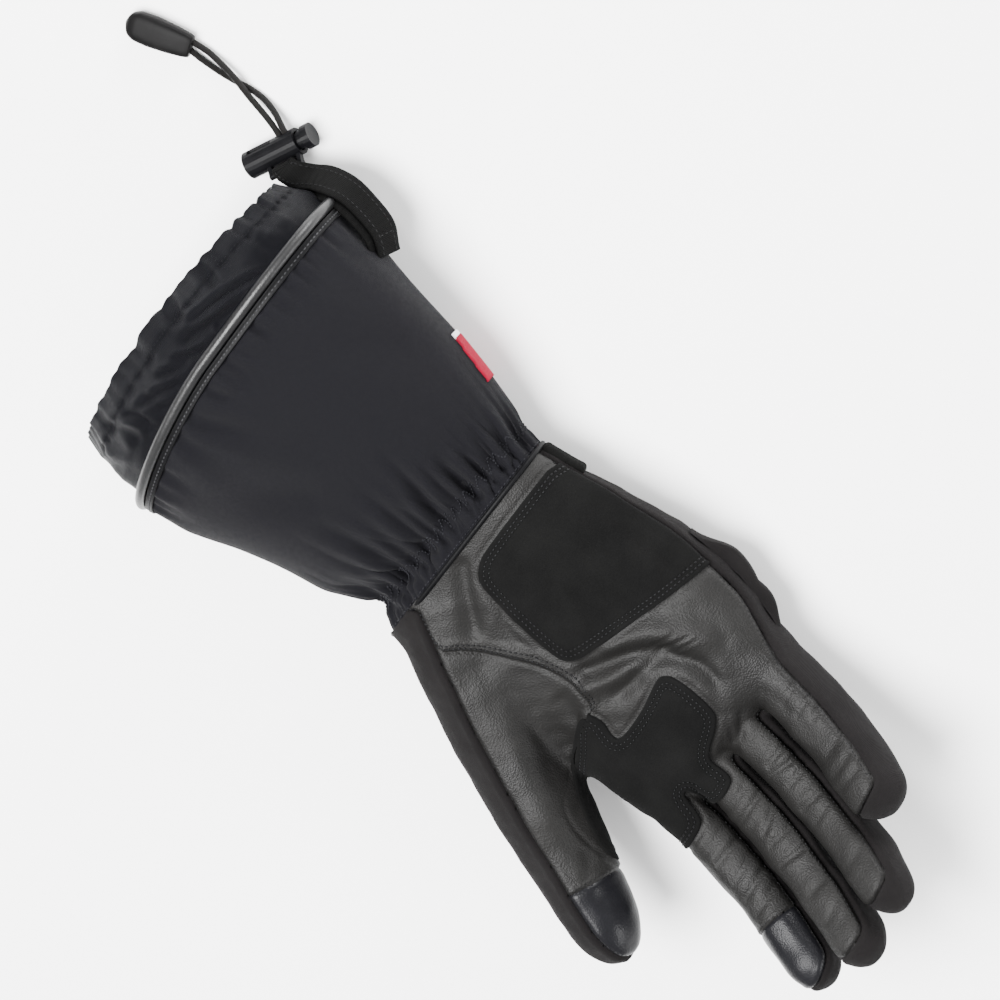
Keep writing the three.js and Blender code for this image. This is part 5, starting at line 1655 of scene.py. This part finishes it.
def layer_piece(
    name, low_y, high_y, high_x, max_z, thickness, material, slot_name, node, columns, rows, relief, taper=1.0
):
    """A strip laid round the little-finger side and back of the hand."""
    made = []
    for y in np.linspace(low_y, high_y, rows):
        xc, a, zc, b = hand_row(y)
        u, v = rounded_point(LAYER_ANGLES, a + LAYER_START, b + LAYER_START, HAND_POWER)
        x, z = xc + u, np.maximum(zc + v, BACK_CLEAR - LAYER_START)
        line = np.stack([x, np.full(len(x), y), z], axis=1)
        made.append(resample_count(line[(z < max_z) & (x < high_x)], columns))
    inner_side = np.array(made)
    n = np.cross(np.gradient(inner_side, axis=0), np.gradient(inner_side, axis=1))
    n /= np.linalg.norm(n, axis=2)[..., None]
    if n[..., 2].sum() > 0:
        n = -n
    i = np.linspace(0, 1, rows)[:, None]
    j = np.linspace(0, 1, columns)[None, :]
    span = high_y - low_y
    length = path_length(inner_side[rows // 2])[-1]
    edge = np.minimum(np.minimum(i, 1 - i) * span / taper, np.minimum(j, 1 - j) * length)
    if taper > 1:
        rise = thickness * smoothstep(edge, 0, thickness * 1.2)
    else:
        rise = thickness * np.sqrt(np.clip(1 - (1 - np.clip(edge / (thickness * 0.9), 0, 1)) ** 2, 0, 1))
    rise = rise + relief(i * span, j * length, edge)
    outer_side = inner_side + n * rise[..., None]
    outer_side[..., 2] = np.maximum(outer_side[..., 2], 0.02)
    verts = np.concatenate([outer_side.reshape(-1, 3), inner_side.reshape(-1, 3)])
    front = grid_faces(rows, columns, closed=False)
    faces = np.concatenate([front, front[:, ::-1] + rows * columns])
    if looks_back(outer_side.reshape(-1, 3), front, n.reshape(-1, 3)):
        faces = faces[:, ::-1]
    uv = np.stack(np.broadcast_arrays(j * length, i * span), axis=-1).reshape(-1, 2)
    obj = make_object(name, verts, faces, material, uv=np.tile(uv, (2, 1)))
    return finish_piece(obj, slot_name, node)


def strap_relief(i, j, edge):
    return 0.12 * np.sin(i * 5.5) * np.sin(j * 5.5) * (edge > 0.8)


STRAP_LOW = 0.6
STRAP_HIGH = 18.6
layer_piece(
    "wrist_strap_tape", STRAP_LOW, STRAP_HIGH, 0.2 * PALM_WIDTH, WRIST_HEIGHT, 2.0, HOOKLOOP, "webbing",
    "wrist_strap", 140, 40, strap_relief,
)

# Creases across the padding and the swell after each, from its edge at the wrist end
PAD_ROLLS = ((-4, 2.4), (31, 2.0), (53, 0))


def pad_relief(i, j, edge):
    rise = np.zeros(np.broadcast(i, j).shape)
    bent = i + 1.5 * np.sin(j * 0.09)
    for (start, swell), (end, _) in zip(PAD_ROLLS, PAD_ROLLS[1:]):
        t = np.clip((bent - start) / (end - start), 0, 1)
        rise = rise + swell * np.sin(math.pi * t) * ((bent >= start) & (bent < end))
    return rise * smoothstep(edge, 0.2, 3.0)


pad_piece = layer_piece(
    "knuckle_padding", 0.5 * PALM_LENGTH, 0.925 * PALM_LENGTH, 0.39 * PALM_WIDTH,
    BACK_CLEAR + 0.5 * PALM_DEPTH, 3.0, CHARCOAL, "charcoal_softshell", "knuckle_pad", 150, 80, pad_relief,
    taper=6.0,
)


PATCH_LOW = 7.5
PATCH_HIGH = 28.5


def sleeve_patch(name, from_share, to_share, thickness, material, *nodes):
    """A flat patch on the sleeve's little-finger side, between two shares of its length."""
    rows, columns = 24, 30
    made = []
    for share in np.linspace(from_share, to_share, rows):
        row = np.full(SEGMENTS, share * (SLEEVE_GRID - 1))
        ring = row_point(outer, row, np.arange(SEGMENTS).astype(float))
        line = ring[(ring[:, 0] < HEM_SHIFT - 20) & (ring[:, 2] < PATCH_HIGH) & (ring[:, 2] > PATCH_LOW)]
        made.append(resample_count(line[np.argsort(line[:, 2])], columns))
    base = np.concatenate(made)
    n = sleeve_look(base)
    verts = np.concatenate([base + n * thickness, base + n * 0.05])
    front = grid_faces(rows, columns, closed=False)
    number = np.arange(rows * columns).reshape(rows, columns)
    rim = np.concatenate([number[:, 0], number[-1, 1:], number[-2::-1, -1], number[0, -2:0:-1]])
    ahead = np.roll(rim, -1)
    border = np.stack([rim, ahead, ahead + rows * columns, rim + rows * columns], axis=1)
    faces = np.concatenate([front, border])
    if looks_back(verts[: rows * columns], front, n):
        faces = faces[:, ::-1]
    return finish_piece(make_object(name, verts, faces, material, smooth=False), "label_tape", *nodes)


sleeve_patch("plain_colour_patch", 0.265, 0.435, 0.75, LABEL, "colour_label")
sleeve_patch("patch_margin", 0.432, 0.452, 0.6, MARGIN)

# Webbing that carries the lock, as in the solids
WEBBING_WIDTH = 10.0
WEBBING_THICKNESS = 1.5
STRAP_LEAN = math.radians(26)
STRAP_SPREAD = 0.25
BARREL_RADIUS = 5.25
BAR_RADIUS = 1.2
LOCK_TURN = math.radians(-25)
LOCK_AT = np.array([-67.6, -144.0, 5.45])
LOCK_ALONG = np.array([math.cos(LOCK_TURN), math.sin(LOCK_TURN), 0])
LOCK_ACROSS = np.array([-math.sin(LOCK_TURN), math.cos(LOCK_TURN), 0])
CORD_HOLE_X = -7.0
CORD_HOLE_WIDTH = 2 * CORD_DIAMETER + 0.3 + 0.8
BARREL_START = CORD_HOLE_X - CORD_HOLE_WIDTH / 2 - 2.0
BRACKET_X = BARREL_START + 0.5 + 1.6 + WEBBING_WIDTH / 2 + 0.7
BAR_REACH = BARREL_RADIUS + BAR_RADIUS + WEBBING_THICKNESS + 0.9
BAR_AT = LOCK_AT + LOCK_ALONG * BRACKET_X + LOCK_ACROSS * BAR_REACH * math.cos(math.radians(38))
BAR_AT = BAR_AT + np.array([0, 0, BAR_REACH * math.sin(math.radians(38))])
WEBBING_ROUTE = [
    # x, y, z, twist
    (-74, -87, 26, 0), (-80.2, -94, 25.5, 0), (-82.6, -104, 24.5, 0), (-82.4, -113, 22.5, 0.15),
    (-78, -122, 18.2, 0.5), (-71.5, -129.2, 14.4, 0.95),
]


ROUTE_STEPS = 60
TURN_STEPS = 16
EDGE_STEPS = 13
WEBBING_GAP = 0.3
WEBBING_OFFSET = 2.8


def webbing_piece():
    """The webbing: out along its route, round the lock's bar and back, with stitches on its upper side."""
    line = spline(np.array([*WEBBING_ROUTE, (*BAR_AT, 1)]), ROUTE_STEPS)
    at, twist = line[:, :3], np.clip(line[:, 3:], 0, 1)
    run = np.gradient(at, axis=0)
    run[-1] -= LOCK_ALONG * (run[-1] @ LOCK_ALONG)
    run /= np.linalg.norm(run, axis=1)[:, None]
    upright = np.array([math.sin(STRAP_LEAN), 0, math.cos(STRAP_LEAN)])
    width = upright * (1 - twist) + LOCK_ALONG * twist
    width -= run * (width * run).sum(axis=1)[:, None]
    width /= np.linalg.norm(width, axis=1)[:, None]
    face = np.cross(run, width)
    half, thick = WEBBING_WIDTH / 2, WEBBING_THICKNESS / 2
    turn_radius = BAR_RADIUS + WEBBING_GAP + thick
    folded = (WEBBING_THICKNESS + WEBBING_GAP) / 2
    share = np.linspace(0, 1, ROUTE_STEPS)[:, None]
    spread = folded + (turn_radius - folded) * smoothstep(share, 0.72, 0.9)
    turn = math.pi * np.arange(1, TURN_STEPS)[:, None] / TURN_STEPS
    turned = face[-1] * np.cos(turn) + run[-1] * np.sin(turn)
    middles = np.concatenate([at + face * spread, at[-1] + turned * turn_radius, (at - face * spread)[::-1]])
    faces_out = np.concatenate([face, turned, -face[::-1]])
    widths = np.concatenate([width, np.repeat(width[-1:], TURN_STEPS - 1, axis=0), width[::-1]])
    broad = 1 + STRAP_SPREAD * (1 - smoothstep(share[:, 0], 0.6, 0.95))
    broad = np.concatenate([broad, np.ones(TURN_STEPS - 1), broad[::-1]])
    shifts = np.zeros(len(middles))
    shifts[-ROUTE_STEPS:] = WEBBING_OFFSET * smoothstep(share[:, 0], 0.15, 0.5)
    edge = np.linspace(-1, 1, EDGE_STEPS)
    depth = thick * (1 - 0.55 * np.abs(edge) ** 6)
    a = np.concatenate([edge, edge[::-1]]) * half
    b = np.concatenate([depth, -depth[::-1]])
    sideways = (a * broad[:, None] + shifts[:, None])[..., None]
    verts = middles[:, None] + widths[:, None] * sideways + faces_out[:, None] * b[:, None]
    uv = np.stack(np.broadcast_arrays(a + np.where(b < 0, 20, 0), path_length(middles)[:, None]), axis=-1)
    faces = grid_faces(len(middles), len(a))
    if looks_back(verts.reshape(-1, 3), faces, (verts - middles[:, None]).reshape(-1, 3)):
        faces = faces[:, ::-1]
    obj = make_object("lock_strap", verts.reshape(-1, 3), faces, WEBBING, uv=uv.reshape(-1, 2))
    finish_piece(obj, "webbing", "lock_webbing")
    surface = (middles + faces_out * thick)[:ROUTE_STEPS]
    reach = half - 1.3
    rows = [surface + width * side * reach for side in (-1, 1)]
    rows.append(surface[8] + width[8] * np.linspace(-1, 1, 12)[:, None] * reach)
    look = Nearest(middles[:ROUTE_STEPS], face)
    stitches("strap_stitches", rows, look, THREAD, 2.2, 1.5, 0.22, 0.02)


webbing_piece()

# The lock's own solids keep their shape and take the moulded plastic
for node_name in ("cord_lock_barrel", "cord_lock_plunger"):
    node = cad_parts[node_name]
    node.data.materials.clear()
    node.data.materials.append(PLASTIC)
    for polygon in node.data.polygons:
        polygon.use_smooth = True
    node.data.set_sharp_from_angle(angle=math.radians(35))
